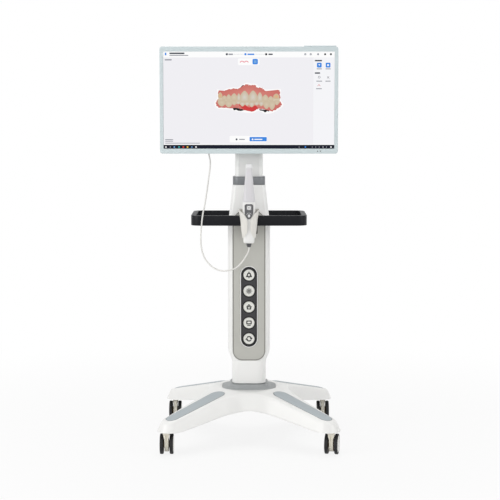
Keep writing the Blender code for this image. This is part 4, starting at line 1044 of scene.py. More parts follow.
def addFrontPanel():
    back = column["panelBack"]
    mesh = shaped(
        slabMesh([panelOutline(0), stripOutline(0.0004)], column["panelThickness"]),
        upright(back),
        column["panelBevel"],
        3,
    )
    addPiece("smoothPanel", mesh, "stand", "panelGrey", ("front_panel",))
    # Painted shade: a thin dark ring just inside the panel's edge stands for the shading of its recessed edge
    outside, inside, height = column["panelLine"]
    line = slabMesh([panelOutline(-outside), panelOutline(-inside)], height)
    line.transform(upright(back - column["panelThickness"] + height / 3))
    addPiece("panelLine", line, "stand", "panelEdge")
    rim = slabMesh([stripOutline(strip["rim"]), stripOutline(0.0003)], 0.0008)
    mesh = shaped(rim, upright(back - column["panelThickness"] + 0.0003), 0.0002, 2)
    addPiece("stripRim", mesh, "stand", "stripRim")
    holes = [circlePoints(strip["keyRadius"] + strip["keyGap"], 64, 0, z) for z in keyHeights()]
    mesh = shaped(slabMesh([stripOutline(0), *holes], strip["thickness"]), upright(back), 0.0009, 4)
    addPiece("smoothKeyStrip", mesh, "stand", "stripDark", ("key_strip",))
    front, inner = back - strip["thickness"], strip["keyRadius"] + strip["keyGap"]
    border = slabMesh([stripOutline(-0.0008), stripOutline(-0.0032)], 0.00012)
    border.transform(upright(front + 0.00004))
    addPiece("stripBorder", border, "stand", "stripRing")
    ring = slabMesh([circlePoints(inner + 0.0030, 48), circlePoints(inner + 0.0001, 48)], 0.0002)
    places = [(0, front + 0.00006, z) for z in keyHeights()]
    mesh = repeatedMesh("keyRings", ring, places, (math.radians(90), 0, 0), "stripRing")
    addPiece("keyRings", mesh, "stand", "stripRing")


# Generic signs as flat outlines within a circle of radius 1


def barOutline(x0, y0, x1, y1, width):
    start, end = Vector((x0, y0)), Vector((x1, y1))
    side = (end - start).orthogonal().normalized() * width / 2
    return [tuple(start + side), tuple(start - side), tuple(end - side), tuple(end + side)]


def ringLoops(x, y, outer, inner, steps=28):
    return [circlePoints(outer, steps, x, y), circlePoints(inner, steps, x, y)]


def bellSign():
    dome = arcPoints(0, 0.04, 0.31, 0, 180, 16)
    outer = [(0.44, -0.32), (0.44, -0.16), (0.31, -0.04), *dome]
    outer += [(-0.31, -0.04), (-0.44, -0.16), (-0.44, -0.32)]
    hollow = [(0.16, -0.14), *arcPoints(0, 0.04, 0.15, 0, 180, 12), (-0.16, -0.14)]
    clapper = arcPoints(0, -0.36, 0.13, 180, 360, 8)
    return [[outer, hollow], [clapper], [circlePoints(0.09, 12, 0, 0.43)]]


def sunSign():
    shapes = [ringLoops(0, 0, 0.25, 0.09)]
    for step in range(8):
        angle = math.pi * step / 4
        c, s = math.cos(angle), math.sin(angle)
        shapes.append([barOutline(0.30 * c, 0.30 * s, 0.47 * c, 0.47 * s, 0.12)])
    return shapes


def houseSign():
    roof = [(-0.48, -0.04), (0, 0.45), (0.48, -0.04), (0.32, -0.04), (0, 0.30), (-0.32, -0.04)]
    wall = [(-0.32, -0.38), (-0.32, -0.06), (0, 0.22), (0.32, -0.06), (0.32, -0.38)]
    room = [(-0.15, -0.24), (-0.15, -0.08), (0, 0.05), (0.15, -0.08), (0.15, -0.24)]
    return [[roof], [wall, room]]


def screenSign():
    outer = roundedRectangle(0.82, 0.58, 0.10, 4)
    inner = roundedRectangle(0.50, 0.27, 0.05, 4)
    return [[moved(outer, 0, 0.07), moved(inner, 0, 0.07)], [barOutline(-0.26, -0.37, 0.26, -0.37, 0.14)]]


def cycleSign():
    shapes = []
    for side in (1, -1):
        band = arcPoints(0, 0, 0.42, 20, 150, 14) + arcPoints(0, 0, 0.25, 150, 20, 14)
        head = [(0.12, 0.13), (0.56, 0.13), (0.34, -0.14)]
        shapes += [[[(side * x, side * y) for x, y in loop]] for loop in (band, head)]
    return shapes


def addKeys():
    signs = (bellSign(), sunSign(), houseSign(), screenSign(), cycleSign())
    radius = strip["keyRadius"]
    reach = radius * strip["signScale"]
    for number, (sign, height) in enumerate(zip(signs, keyHeights()), 1):
        low, high = nodeBox(f"panel_key_{number}")
        thickness = high.y - low.y
        profile = [
            (0.0, thickness - strip["dish"]),
            (radius * 0.55, thickness - strip["dish"]),
            (radius * 0.78, thickness - strip["dish"] * 0.6),
            (radius * 0.87, thickness - 0.0001),
            (radius * 0.93, thickness),
            (radius * 0.98, thickness - 0.0003),
            (radius, thickness - 0.0009),
            (radius, 0.0),
            (0.0, 0.0),
        ]
        body = turnedMesh(profile, 64)
        body.transform(upright(high.y, height))
        face = high.y - thickness + strip["dish"]
        marks = []
        for loops in sign:
            scaled = [[(x * reach, y * reach) for x, y in loop] for loop in loops]
            mark = slabMesh(scaled, strip["sign"] * 2)
            mark.transform(upright(face + strip["sign"], height))
            marks.append(mark)
        count = len(body.polygons)
        mesh = joinedMesh([body, *marks])
        paintFaces(mesh, 1, lambda item: item.index >= count)
        paintFaces(mesh, 2, lambda item: item.index < count and item.normal.y > -0.2 and item.normal.y < 0.5)
        addPiece(
            f"key_{number}",
            mesh,
            f"panel_key_{number}",
            ["keyFace", "keySign", "portBlack"],
            (f"panel_key_{number}",),
        )


addLowerColumn()
addFrontPanel()
addKeys()
print("column made")


# Cowl, collar and upper column

cowl = {
    "bottom": 0.703,
    "height": 0.1067,
    "bottomSize": (0.1285, 0.122),
    "topSize": (0.105, 0.088),
    "corner": 0.0165,
    "wall": 0.003,
    "rimRound": 0.0022,
    "frontFacing": -0.90,
    "sections": (
        (0.0, 1.0, 1.0),
        (0.13, 0.86, 0.97),
        (0.39, 0.55, 0.82),
        (0.68, 0.22, 0.53),
        (1.0, 0.0, 0.0),
    ),
    "throat": (0.0884, 0.0654, 0.0167),
    "collarSize": (0.102, 0.080, 0.022),
    "collarBottom": 0.8100,
    "collarHeight": 0.026,
    "notchWidth": 0.0416,
    "notchTop": 0.7154,
}
mast = {
    "size": (0.087, 0.064, 0.013),
    "bottom": 0.600,
    "top": 1.020,
    "faceWidth": 0.0635,
    "faceDepth": 0.0015,
}


def cowlRing(share, wide, deep, shrink=0.0):
    low, high = cowl["bottomSize"], cowl["topSize"]
    width = high[0] + (low[0] - high[0]) * wide - 2 * shrink
    depth = high[1] + (low[1] - high[1]) * deep - 2 * shrink
    height = cowl["bottom"] + cowl["height"] * share
    return ringAt(width, depth, cowl["corner"] - shrink, height, steps=12)


def addCowl():
    sections = [tuple(row) for row in smoothCurve(cowl["sections"], 5)]
    top = cowl["bottom"] + cowl["height"]
    rings = [cowlRing(*section) for section in sections[:-1]]
    for angle in (0, 30, 60, 90):
        down = cowl["rimRound"] * (1 - math.sin(math.radians(angle)))
        inward = cowl["rimRound"] * (1 - math.cos(math.radians(angle)))
        rings.append(cowlRing(1 - down / cowl["height"], 0.0, 0.0, inward))
    rings.append(ringAt(*cowl["throat"], top, steps=12))
    rings.append(ringAt(*cowl["throat"], top - 0.010, steps=12))
    rings += [cowlRing(*section, cowl["wall"]) for section in reversed(sections[:16])]
    arch = slabMesh([panelOutline(-0.0015)], column["depth"] / 2)
    notchHeight = 2 * (cowl["notchTop"] - cowl["bottom"])
    notch = blockMesh(cowl["notchWidth"], column["depth"], notchHeight)
    cuts = [
        (arch, upright(column["panelBack"] - column["panelThickness"])),
        (notch, level(cowl["bottom"], 0, column["depth"])),
    ]
    mesh = shaped(loftMesh(rings, tube=True), bevel=0.0007, segments=3, angle=50, cuts=cuts)
    # Painted highlight: faces that do not face straight to the front get the brighter side white, for the lit
    # sides of the cowl
    paintFaces(mesh, 1, lambda item: item.normal.y > cowl["frontFacing"])
    paints = ["whiteShell", "cowlSide"]
    addPiece("smoothCowl", mesh, "stand", paints, ("cowl",), 40)


def addCollar():
    width, depth, corner = cowl["collarSize"]
    bottom, height = cowl["collarBottom"], cowl["collarHeight"]
    outer = [
        (0.0012, 0.0),
        (0.0003, 0.0004),
        (0.0, 0.0012),
        (0.0, height * 0.84),
        (0.0006, height * 0.86),
        (0.0006, height * 0.88),
        (0.0, height * 0.90),
        (0.0, height - 0.0012),
        (0.0004, height - 0.0004),
        (0.0014, height),
    ]
    rings = [
        ringAt(width - 2 * inset, depth - 2 * inset, corner - inset, bottom + z, steps=14)
        for inset, z in outer
    ]
    wide, deep, round_ = cowl["throat"]
    rings.append(ringAt(wide + 0.001, deep + 0.001, round_, bottom + height, steps=14))
    rings.append(ringAt(wide, deep, round_, bottom + height - 0.0008, steps=14))
    rings.append(ringAt(wide, deep, round_, bottom, steps=14))
    mesh = loftMesh(rings, tube=True)
    addPiece("smoothCollar", mesh, "stand", "collarMetal", ("collar",))


def addMast():
    width, depth, corner = mast["size"]
    bottom, top = mast["bottom"], mast["top"]
    rings = [ringAt(width, depth, corner, bottom, steps=12)]
    rings.append(ringAt(width, depth, corner, top - 0.0010, steps=12))
    rings.append(ringAt(width - 0.0006, depth - 0.0006, corner, top - 0.0003, steps=12))
    rings.append(ringAt(width - 0.0020, depth - 0.0020, corner - 0.001, top, steps=12))
    channel = blockMesh(mast["faceWidth"], 4 * mast["faceDepth"], top - bottom + 0.02)
    place = level((top + bottom) / 2, 0, -depth / 2 - mast["faceDepth"])
    mesh = shaped(loftMesh(rings), cuts=[(channel, place)])
    addPiece("smoothMast", mesh, "lift", "whitePaint", ("upper_column",), 40)
    # Painted shade: the grey front strip stands for the duller front face of the white upper column
    face = slabMesh([roundedRectangle(mast["faceWidth"] - 0.0008, top - bottom, 0.001, 4)], 0.0012)
    middle = (top + bottom) / 2
    mesh = shaped(face, upright(-depth / 2 + 0.0012, middle), 0.0003, 2)
    addPiece("smoothFace", mesh, "lift", "faceGrey", ("column_face",))


addCowl()
addCollar()
addMast()
print("cowl and upper column made")

# Handle ring with its two arms

handle = {
    "size": (0.359, 0.250, 0.032),
    "bar": 0.0155,
    "bottom": 0.688,
    "height": 0.031,
    "edge": 0.0045,
    "armSize": (0.040, 0.022),
    "armEnds": {"front": (-0.1092, -0.0551), "rear": (0.0553, 0.1092)},
}


def addHandle():
    width, depth, corner = handle["size"]
    bar = handle["bar"]
    loops = [
        roundedRectangle(width, depth, corner, 18),
        roundedRectangle(width - 2 * bar, depth - 2 * bar, corner - bar, 18),
    ]
    mesh = shaped(slabMesh(loops, handle["height"]), level(handle["bottom"]), handle["edge"], 5)
    addPiece("smoothHandle", mesh, "stand", "handleBlack", ("handle_ring",))
    middle = handle["bottom"] + handle["height"] / 2
    for name, (start, end) in handle["armEnds"].items():
        wide, high = handle["armSize"]
        arm = slabMesh([roundedRectangle(wide, high, 0.003, 6)], end - start)
        mesh = shaped(arm, upright(end, middle), 0.0008, 2)
        node = f"handle_arm_{name}"
        addPiece(f"smooth_{node}", mesh, "stand", "handleBlack", (node,))


addHandle()

# Holder: cradle with a V-shaped opening between its horns

holder = {
    "top": 0.741,
    "height": 0.0875,
    "topSize": (0.064, 0.048),
    "footSize": (0.040, 0.0385),
    "centerY": -0.150,
    "wall": 0.0022,
    "sections": (
        (0.0, 1.0),
        (0.08, 0.86),
        (0.22, 0.69),
        (0.39, 0.51),
        (0.67, 0.34),
        (0.88, 0.13),
        (1.0, 0.0),
    ),
    "bossSize": (0.028, 0.0055, 0.054),
    "bossTop": 0.722,
    "bossBack": -0.1253,
    "notchWidth": 0.060,
    "notchDrop": 0.0365,
    "slotWidth": 0.010,
    "clampSize": (0.045, 0.025, 0.025),
    "clampPlace": (0.0040, -0.1125, 0.6752),
}


def holderRings(shrink):
    rings = []
    foot, top = holder["footSize"], holder["topSize"]
    for down, wide in smoothCurve(holder["sections"], 4):
        width, depth = (low + (high - low) * wide for low, high in zip(foot, top))
        corner = min(width, depth) * 0.42 - shrink
        height = holder["top"] - holder["height"] * down
        size = (width - 2 * shrink, depth - 2 * shrink, corner, height)
        rings.append(ringAt(*size, holder["centerY"], steps=14))
    return rings


def notchOutline():
    slot = holder["slotWidth"] / 2
    bottom = holder["top"] - holder["height"]
    low = holder["top"] - holder["notchDrop"]
    side = holder["notchWidth"] / 2
    corners = (
        (slot + 0.0115, bottom - 0.004),
        (slot + 0.0100, bottom + 0.0005),
        (slot + 0.0045, bottom + 0.011),
        (slot, bottom + 0.022),
        (slot, low + 0.002),
        (slot + 0.0010, low + 0.007),
        (slot + 0.0055, low + 0.0155),
        (slot + 0.0115, low + 0.0235),
        (side - 0.003, holder["top"] - 0.004),
        (side, holder["top"] - 0.001),
        (side + 0.001, holder["top"] + 0.004),
    )
    half = smoothCurve(corners, 4)
    return half + [(-x, z) for x, z in reversed(half)]


def addHolder():
    wide, deep, high = holder["bossSize"]
    boss = slabMesh([roundedRectangle(wide, high, 0.004, 8)], deep)
    bossPlace = upright(holder["bossBack"], holder["bossTop"] - high / 2)
    inside = holderRings(holder["wall"])
    well = [list(ring) for ring in inside]
    well[0] = [point + Vector((0, 0, 0.01)) for point in well[0]]
    well[-1] = [point - Vector((0, 0, 0.01)) for point in well[-1]]
    notch = slabMesh([notchOutline()], holder["topSize"][1])
    mesh = shaped(
        loftMesh(holderRings(0.0) + inside[::-1], tube=True),
        bevel=0.0006,
        segments=2,
        angle=50,
        joins=[(boss, bossPlace)],
        cuts=[(loftMesh(well), level(0)), (notch, upright(holder["centerY"] - 0.002))],
    )
    addPiece("smoothHolder", mesh, "stand", "holderWhite", ("holder",), 40)
    wide, deep, high = holder["clampSize"]
    x, y, z = holder["clampPlace"]
    mesh = shaped(blockMesh(wide, deep, high), level(z, x, y), 0.0022, 4)
    addPiece("smoothClamp", mesh, "stand", "clampDark", ("holder_clamp",))


addHolder()

# Handpiece: body with its pad, buttons and strain relief, and the slip-on tip

handpiece = {
    "bottom": 0.637,
    "length": 0.1260,
    "footSize": (0.034, 0.032),
    "bodySize": (0.040, 0.0368),
    "tipBase": (0.0372, 0.0340),
    "tipEnd": (0.0206, 0.0172),
    "tipLength": 0.1148,
    "tipWall": 0.0022,
    "tipGap": 0.0003,
    "noseLength": 0.044,
    "padTop": 0.7571,
    "padLength": 0.0452,
    "padWidth": 0.0255,
    "padCorner": 0.0056,
    "padThickness": 0.0024,
    "padFront": -0.1691,
    "padFoot": (
        (1.0, 0.50), (0.93, 0.36), (0.80, 0.22), (0.58, 0.10), (0.38, 0.035), (0.20, 0.0), (0, -0.006),
    ),
    "padSeam": 0.0006,
    "archRadii": (0.0082, 0.0074),
    "archLift": 0.0012,
    "lineThickness": 0.0002,
    "buttonThickness": 0.0018,
    "mainSide": 0.0154,
    "mainDrop": 0.0110,
    "smallWidth": 0.0075,
    "smallDrop": 0.0356,
    "buttonBack": -0.1672,
    "glandRadius": 0.0080,
    "glandLength": 0.012,
}


def padOutline(grow):
    half = handpiece["padWidth"] / 2 + grow
    top = handpiece["padTop"] + grow
    low = handpiece["padTop"] - handpiece["padLength"] - grow
    corner = handpiece["padCorner"] + grow
    points = arcPoints(half - corner, top - corner, corner, 0, 90, 10)
    points += arcPoints(-half + corner, top - corner, corner, 90, 180, 10)
    foot = smoothCurve(handpiece["padFoot"], 4)
    side = [(half * x, low + handpiece["padLength"] * max(z, 0)) for x, z in foot]
    points += [(-x, z) for x, z in side[:-1]]
    return points + side[::-1]


def ovalOutline(radius, z):
    return [(x, height * 1.2 + z) for x, height in circlePoints(radius, 36)]


def addHandpieceBody():
    y = holder["centerY"]
    bottom, length = handpiece["bottom"], handpiece["length"]
    foot, body, tip = handpiece["footSize"], handpiece["bodySize"], handpiece["tipBase"]
    rows = [
        (foot[0] * wide, foot[1] * deep, 0.0095, bottom + z)
        for wide, deep, z in ((0.80, 0.80, 0.0), (0.93, 0.93, 0.0018), (0.99, 0.99, 0.0060), (1, 1, 0.013))
    ]
    for share, grown in ((0.35, 0.26), (0.55, 0.58), (0.75, 0.87), (0.92, 1.0), (0.985, 0.99)):
        width = foot[0] + (body[0] - foot[0]) * grown
        depth = foot[1] + (body[1] - foot[1]) * grown
        rows.append((width, depth, 0.0105, bottom + length * share))
    rows.append((tip[0] + 0.001, tip[1] + 0.001, 0.0105, bottom + length))
    rings = [ringAt(*row, y, steps=14) for row in smoothCurve(rows, 4)]
    wall = 2 * handpiece["tipWall"] + 0.0012
    nose = (tip[0] - wall, tip[1] - wall)
    share = handpiece["noseLength"] / handpiece["tipLength"] * 1.35
    end = [n + (e - t) * share for n, e, t in zip(nose, handpiece["tipEnd"], tip)]
    rings.append(ringAt(*nose, 0.0095, bottom + length, y, steps=14))
    rings.append(ringAt(*end, 0.006, bottom + length + handpiece["noseLength"], y, steps=14))
    recess = slabMesh([padOutline(handpiece["padSeam"])], 0.0072)
    cuts = [(recess, upright(handpiece["padFront"] + handpiece["padThickness"] + 0.0004))]
    mesh = shaped(loftMesh(rings), bevel=0.0005, segments=2, angle=50, cuts=cuts)
    addPiece("smoothBody", mesh, "stand", "whiteShell", ("handpiece_body",), 40)


def addPad():
    mainZ = handpiece["padTop"] - handpiece["mainDrop"]
    smallZ = handpiece["padTop"] - handpiece["smallDrop"]
    side = handpiece["mainSide"]
    holes = [
        moved(roundedRectangle(side + 0.0009, side + 0.0009, 0.0049, 10), 0, mainZ),
        ovalOutline(handpiece["smallWidth"] / 2 + 0.0004, smallZ),
    ]
    back = handpiece["padFront"] + handpiece["padThickness"]
    pad = slabMesh([padOutline(0), *holes], handpiece["padThickness"])
    mesh = shaped(pad, upright(back), 0.0005, 3)
    addPiece("smoothPad", mesh, "stand", "padGrey", ("handpiece_pad",))
    (outer, inner), archZ = handpiece["archRadii"], smallZ + handpiece["archLift"]
    arch = arcPoints(0, archZ, outer, 20, 160, 24) + arcPoints(0, archZ, inner, 160, 20, 24)
    line, thick = handpiece["lineThickness"], handpiece["buttonThickness"]
    mesh = slabMesh([arch], line)
    mesh.transform(upright(handpiece["padFront"] + 0.0001))
    addPiece("padLine", mesh, "stand", "buttonWhite")
    face = handpiece["buttonBack"] - thick
    main = slabMesh([roundedRectangle(side, side, 0.0045, 12)], thick)
    main = shaped(main, upright(handpiece["buttonBack"], mainZ), 0.0006, 4)
    count = len(main.polygons)
    plus = ((0.0050, 0.0013), (0.0013, 0.0050))
    signs = [slabMesh([roundedRectangle(*size, 0.0004, 3)], line) for size in plus]
    insets = (0.0006, 0.0036)
    border = [roundedRectangle(side - inset, side - inset, 0.0045 - inset / 2, 10) for inset in insets]
    signs.append(slabMesh(border, line))
    for sign, lift in zip(signs, (0.0001, 0.00016, 0.0001)):
        sign.transform(upright(face + line - lift, mainZ))
    mesh = joinedMesh([main, *signs])
    paintFaces(mesh, 1, lambda item: item.index >= count)
    paints = ["buttonWhite", "padDark"]
    addPiece("smoothMainButton", mesh, "main_button", paints, ("main_button",))
    small = slabMesh([ovalOutline(handpiece["smallWidth"] / 2, 0)], thick)
    mesh = shaped(small, upright(handpiece["buttonBack"], smallZ), 0.0006, 4)
    addPiece("smoothSmallButton", mesh, "small_button", "buttonWhite", ("small_button",))


# Strain relief with its ribs
def addGland():
    radius, length = handpiece["glandRadius"], handpiece["glandLength"]
    profile = [(0.0, 0.0), (radius - 0.0004, 0.0), (radius, -0.0004), (radius, -length * 0.30)]
    ribs = 4
    for rib in range(ribs):
        start = 0.34 + 0.62 * rib / ribs
        outer = radius * (0.97 - 0.075 * rib)
        for part, ratio in ((0.0, 0.84), (0.035, 0.84), (0.05, 1.0), (0.125, 1.0), (0.14, 0.84)):
            profile.append((outer * ratio, -length * (start + part)))
    profile += [(radius * 0.62, -length), (0.0, -length)]
    mesh = turnedMesh(profile, 40)
    mesh.transform(level(handpiece["bottom"] - 0.0003, 0, holder["centerY"]))
    addPiece("smoothGland", mesh, "stand", "padGrey", ("cord_gland",))


def tipRings(shrink, shares):
    base, end = handpiece["tipBase"], handpiece["tipEnd"]
    bottom = handpiece["bottom"] + handpiece["length"] + handpiece["tipGap"]
    rings = []
    for up, narrow in smoothCurve(shares, 4):
        width = base[0] + (end[0] - base[0]) * narrow - 2 * shrink
        depth = base[1] + (end[1] - base[1]) * narrow - 2 * shrink
        height = bottom + handpiece["tipLength"] * up
        corner = min(width, depth) * 0.36
        rings.append(ringAt(width, depth, corner, height, holder["centerY"], steps=14))
    return rings


def addTip():
    y = holder["centerY"]
    bottom = handpiece["bottom"] + handpiece["length"] + handpiece["tipGap"]
    length = handpiece["tipLength"]
    shares = ((0.0, 0.0), (0.06, 0.035), (0.25, 0.30), (0.45, 0.57), (0.64, 0.80), (0.82, 1.0))
    outside = tipRings(0.0, shares)
    head = ((0.82, 1.0, 1.0), (0.90, 1.0, 0.98), (0.94, 0.98, 0.80), (0.985, 0.93, 0.46), (1.0, 0.82, 0.30))
    for up, wide, deep in smoothCurve(head, 4)[1:]:
        width = handpiece["tipEnd"][0] * wide
        depth = handpiece["tipEnd"][1] * deep
        back = y + (handpiece["tipEnd"][1] - depth) / 2
        outside.append(ringAt(width, depth, depth * 0.36, bottom + length * up, back, steps=14))
    inside = tipRings(handpiece["tipWall"], shares[:4])
    windowZ = bottom + length * 0.82
    windowBack = y + handpiece["tipEnd"][1] / 2
    recess = slabMesh([roundedRectangle(0.0133, 0.0183, 0.0044, 8)], 0.0044)
    mesh = shaped(
        loftMesh(list(reversed(outside)) + inside),
        bevel=0.0004,
        segments=2,
        angle=50,
        cuts=[(recess, upright(windowBack + 0.003, windowZ))],
    )
    pale = bottom + length * 0.895
    paintFaces(mesh, 1, lambda item: item.center.z > pale and item.normal.y < 0.3)
    paints = ["tipLavender", "tipPale"]
    addPiece("smoothTip", mesh, "stand", paints, ("handpiece_tip",), 40)
    glass = slabMesh([roundedRectangle(0.0125, 0.0175, 0.004, 10)], 0.0008)
    mesh = shaped(glass, upright(windowBack - 0.0003, windowZ), 0.0002, 2)
    addPiece("smoothWindow", mesh, "stand", "mirrorGlass", ("tip_window",))


addHandpieceBody()
addPad()
addGland()
addTip()
print("handle, holder and handpiece made")

# Castors: hooded fork with a grooved fin, and twin wheels

castor = {
    "wheelRadius": 0.0315,
    "wheelWidth": 0.0142,
    "hubStep": 0.0024,
    "capRadius": 0.0252,
    "axleBore": 0.0033,
    "trail": 0.014,
    "axleHeight": 0.0312305,
    "finWidth": 0.0120,
    "finRadius": 0.0235,
    "wheelGap": 0.0006,
    "wheelInside": 0.0071,
    "topHeight": 0.0715,
    "headSize": (0.022, 0.034, 0.0058),
    "shoulder": (0.0178, 0.024, 0.0465, 0.0600),
    "stemRadius": 0.0055,
    "stemLength": 0.012,
    "place": 0.2500330,
    "frontRightTurn": -11,
}
castorTurns = {
    "rear_right": (1, 1, 180),
    "rear_left": (-1, 1, 180),
    "front_left": (-1, -1, 0),
    "front_right": (1, -1, castor["frontRightTurn"]),
}


# Outline's length pointing down, thickness towards the rear
downward = Matrix(((0, 1, 0, 0), (0, 0, 1, 0), (-1, 0, 0, 0), (0, 0, 0, 1)))


def wheelMesh():
    width, radius, cap = castor["wheelWidth"], castor["wheelRadius"], castor["capRadius"]
    bore, step = castor["axleBore"], castor["hubStep"]
    depth = width * 0.55 + castor["wheelGap"]
    tread = castor["axleHeight"]
    outer = [
        (0.0, width),
        (0.0050, width),
        (0.0062, width - 0.0004),
        (0.0068, width - 0.0009),
        (0.0150, width - 0.0006),
        (cap - 0.0030, width - 0.0005),
        (cap - 0.0008, width - 0.0009),
        (cap, width - 0.0018),
        (cap + 0.0004, width - 0.0026),
        (cap + 0.0010, width - 0.0018),
        (radius - 0.0032, width - 0.0009),
        (radius - 0.0011, width - 0.0013),
        (tread, width - 0.0028),
        (tread, step + 0.0028),
        (radius - 0.0009, step + 0.0012),
        (radius - 0.0026, step),
        (radius - 0.0050, step),
        (radius - 0.0060, step + 0.0012),
        (0.0135, step + 0.0014),
        (0.0125, step),
        (0.0120, 0.0006),
        (0.0114, 0.0),
        (bore, 0.0),
        (bore, depth),
        (0.0, depth),
    ]
    mesh = turnedMesh(outer, 72)
    paintFaces(mesh, 1, lambda face: face.center.z > width - 0.0022 and face.center.xy.length < cap + 0.0002)
    paintFaces(mesh, 2, lambda face: face.center.z < step + 0.002 and face.center.xy.length < radius - 0.0052)
    return mesh


def forkMesh():
    wide, deep, thick = castor["headSize"]
    trail, axle, top = castor["trail"], castor["axleHeight"], castor["topHeight"]
    hood = arcPoints(trail, axle, castor["finRadius"], 20, -190, 40)
    outline = [(deep / 2 - 0.002, top - 0.001), *hood, (-deep / 2 + 0.004, top - 0.001)]
    fin = slabMesh([outline], castor["finWidth"])
    head = slabMesh([roundedRectangle(wide, deep, 0.008, 10)], thick)
    shoulderWide, shoulderDeep, low, high = castor["shoulder"]
    half, waist = shoulderWide / 2, castor["finWidth"] / 2 - 0.001
    sides = [(half, top - 0.002), (half, high), (half - 0.0009, high - 0.0032)]
    sides += [(waist + 0.0004, low + 0.0030), (waist, low)]
    shoulder = slabMesh([[(-x, z) for x, z in sides] + sides[::-1]], shoulderDeep)
    stem = rodMesh(castor["stemRadius"], castor["stemLength"] + 0.001, 32)
    half = castor["finWidth"] / 2 + castor["wheelGap"] + castor["wheelWidth"] * 0.55
    axleRod = rodMesh(0.003, 2 * half, 24)
    groove = slabMesh([taperedCapsule(0.0, 0.0034, 0.030, 0.0014, 12)], 0.02)
    # The groove runs down the fin's front edge
    frontCut = Matrix.Translation((0, trail - castor["finRadius"] - 0.0188, 0.058)) @ downward
    return shaped(
        fin,
        sideways(-castor["finWidth"] / 2),
        0.0011,
        3,
        45,
        joins=[
            (head, level(top - thick)),
            (shoulder, upright(shoulderDeep / 2)),
            (stem, level(top - 0.001)),
            (axleRod, sideways(-half, trail, axle)),
        ],
        cuts=[(groove, frontCut)],
    )


def addCastors():
    wheel = wheelMesh()
    fork = forkMesh()
    outwards = {"right": sideways(castor["wheelInside"])}
    outwards["left"] = Matrix.Rotation(math.pi, 4, "Z") @ outwards["right"]
    for name, (sideX, sideY, turn) in castorTurns.items():
        spot = level(0, sideX * castor["place"], sideY * castor["place"])
        spot = spot @ Matrix.Rotation(math.radians(turn), 4, "Z")
        mesh = fork.copy()
        mesh.transform(spot)
        node = f"castor_fork_{name}"
        addPiece(f"smooth_{node}", mesh, f"castor_{name}", "castorCream", (node,), 40)
        for side, facing in outwards.items():
            mesh = wheel.copy()
            hub = Matrix.Translation((0, castor["trail"], castor["axleHeight"]))
            mesh.transform(spot @ hub @ facing)
            node = f"castor_wheel_{name}_{side}"
            paints = ["wheelBlack", "wheelCap", "wheelHub"]
            body = f"wheel_{name}_{side}"
            addPiece(f"smooth_{node}", mesh, body, paints, (node,), 30)


addCastors()
print("castors made")

# Monitor: bezel, back with its vents and screws, and the parts on its top edge

monitor = {
    "width": 0.549,
    "height": 0.3275,
    "screenWidth": 0.527,
    "screenHeight": 0.2965,
    "hinge": 1.0728,
    "bezelBack": -0.0831,
    "bezelDepth": 0.012,
    "corner": 0.008,
    "screenFront": -0.0944,
    "backFront": -0.0828,
    "edgeBack": -0.0648,
    "bulgeBack": -0.0538,
    "bulgeSize": (0.360, 0.220, 0.022),
    "flangeSeat": -0.0462,
}
# Turn of the small repeated parts that stand out towards the rear
facingBack = (math.radians(-90), 0, 0)
vents = {
    "slotLength": 0.020,
    "slotWidth": 0.0022,
    "columns": 9,
    "rows": 5,
    "pitchX": 0.026,
    "pitchZ": 0.0064,
    "topLift": 0.060,
}


def screenRing(width, height, corner, y):
    outline = roundedRectangle(width, height, corner, 10)
    return [Vector((x, y, z + monitor["hinge"])) for x, z in outline]


def addBezel():
    width, height, corner = monitor["width"], monitor["height"], monitor["corner"]
    inner = roundedRectangle(monitor["screenWidth"], monitor["screenHeight"], 0.0015, 6)
    ring = slabMesh([roundedRectangle(width, height, corner, 12), inner], monitor["bezelDepth"])
    mesh = shaped(ring, upright(monitor["bezelBack"], monitor["hinge"]), 0.0011, 4)
    addPiece("smoothBezel", mesh, "monitor", "bezelBlue", ("monitor_bezel",))
    front = monitor["bezelBack"] - monitor["bezelDepth"]
    low = monitor["hinge"] - height / 2 + 0.0078
    dots = [(x, front - 0.00005, low) for x in (0.2120, 0.2210)]
    dot = turnedMesh([(0.0, 0.0002), (0.0012, 0.0002), (0.0016, 0.0), (0.0, -0.0002)], 20)
    turn = (math.radians(90), 0, 0)
    mesh = repeatedMesh("bezelDots", dot, dots, turn, "portBlack")
    addPiece("bezelDots", mesh, "monitor", "portBlack")


def ventPlaces():
    places = []
    top = monitor["hinge"] + vents["topLift"]
    for row in range(vents["rows"]):
        for item in range(vents["columns"]):
            x = (item - (vents["columns"] - 1) / 2) * vents["pitchX"]
            places.append((x, monitor["bulgeBack"], top + row * vents["pitchZ"]))
    return places


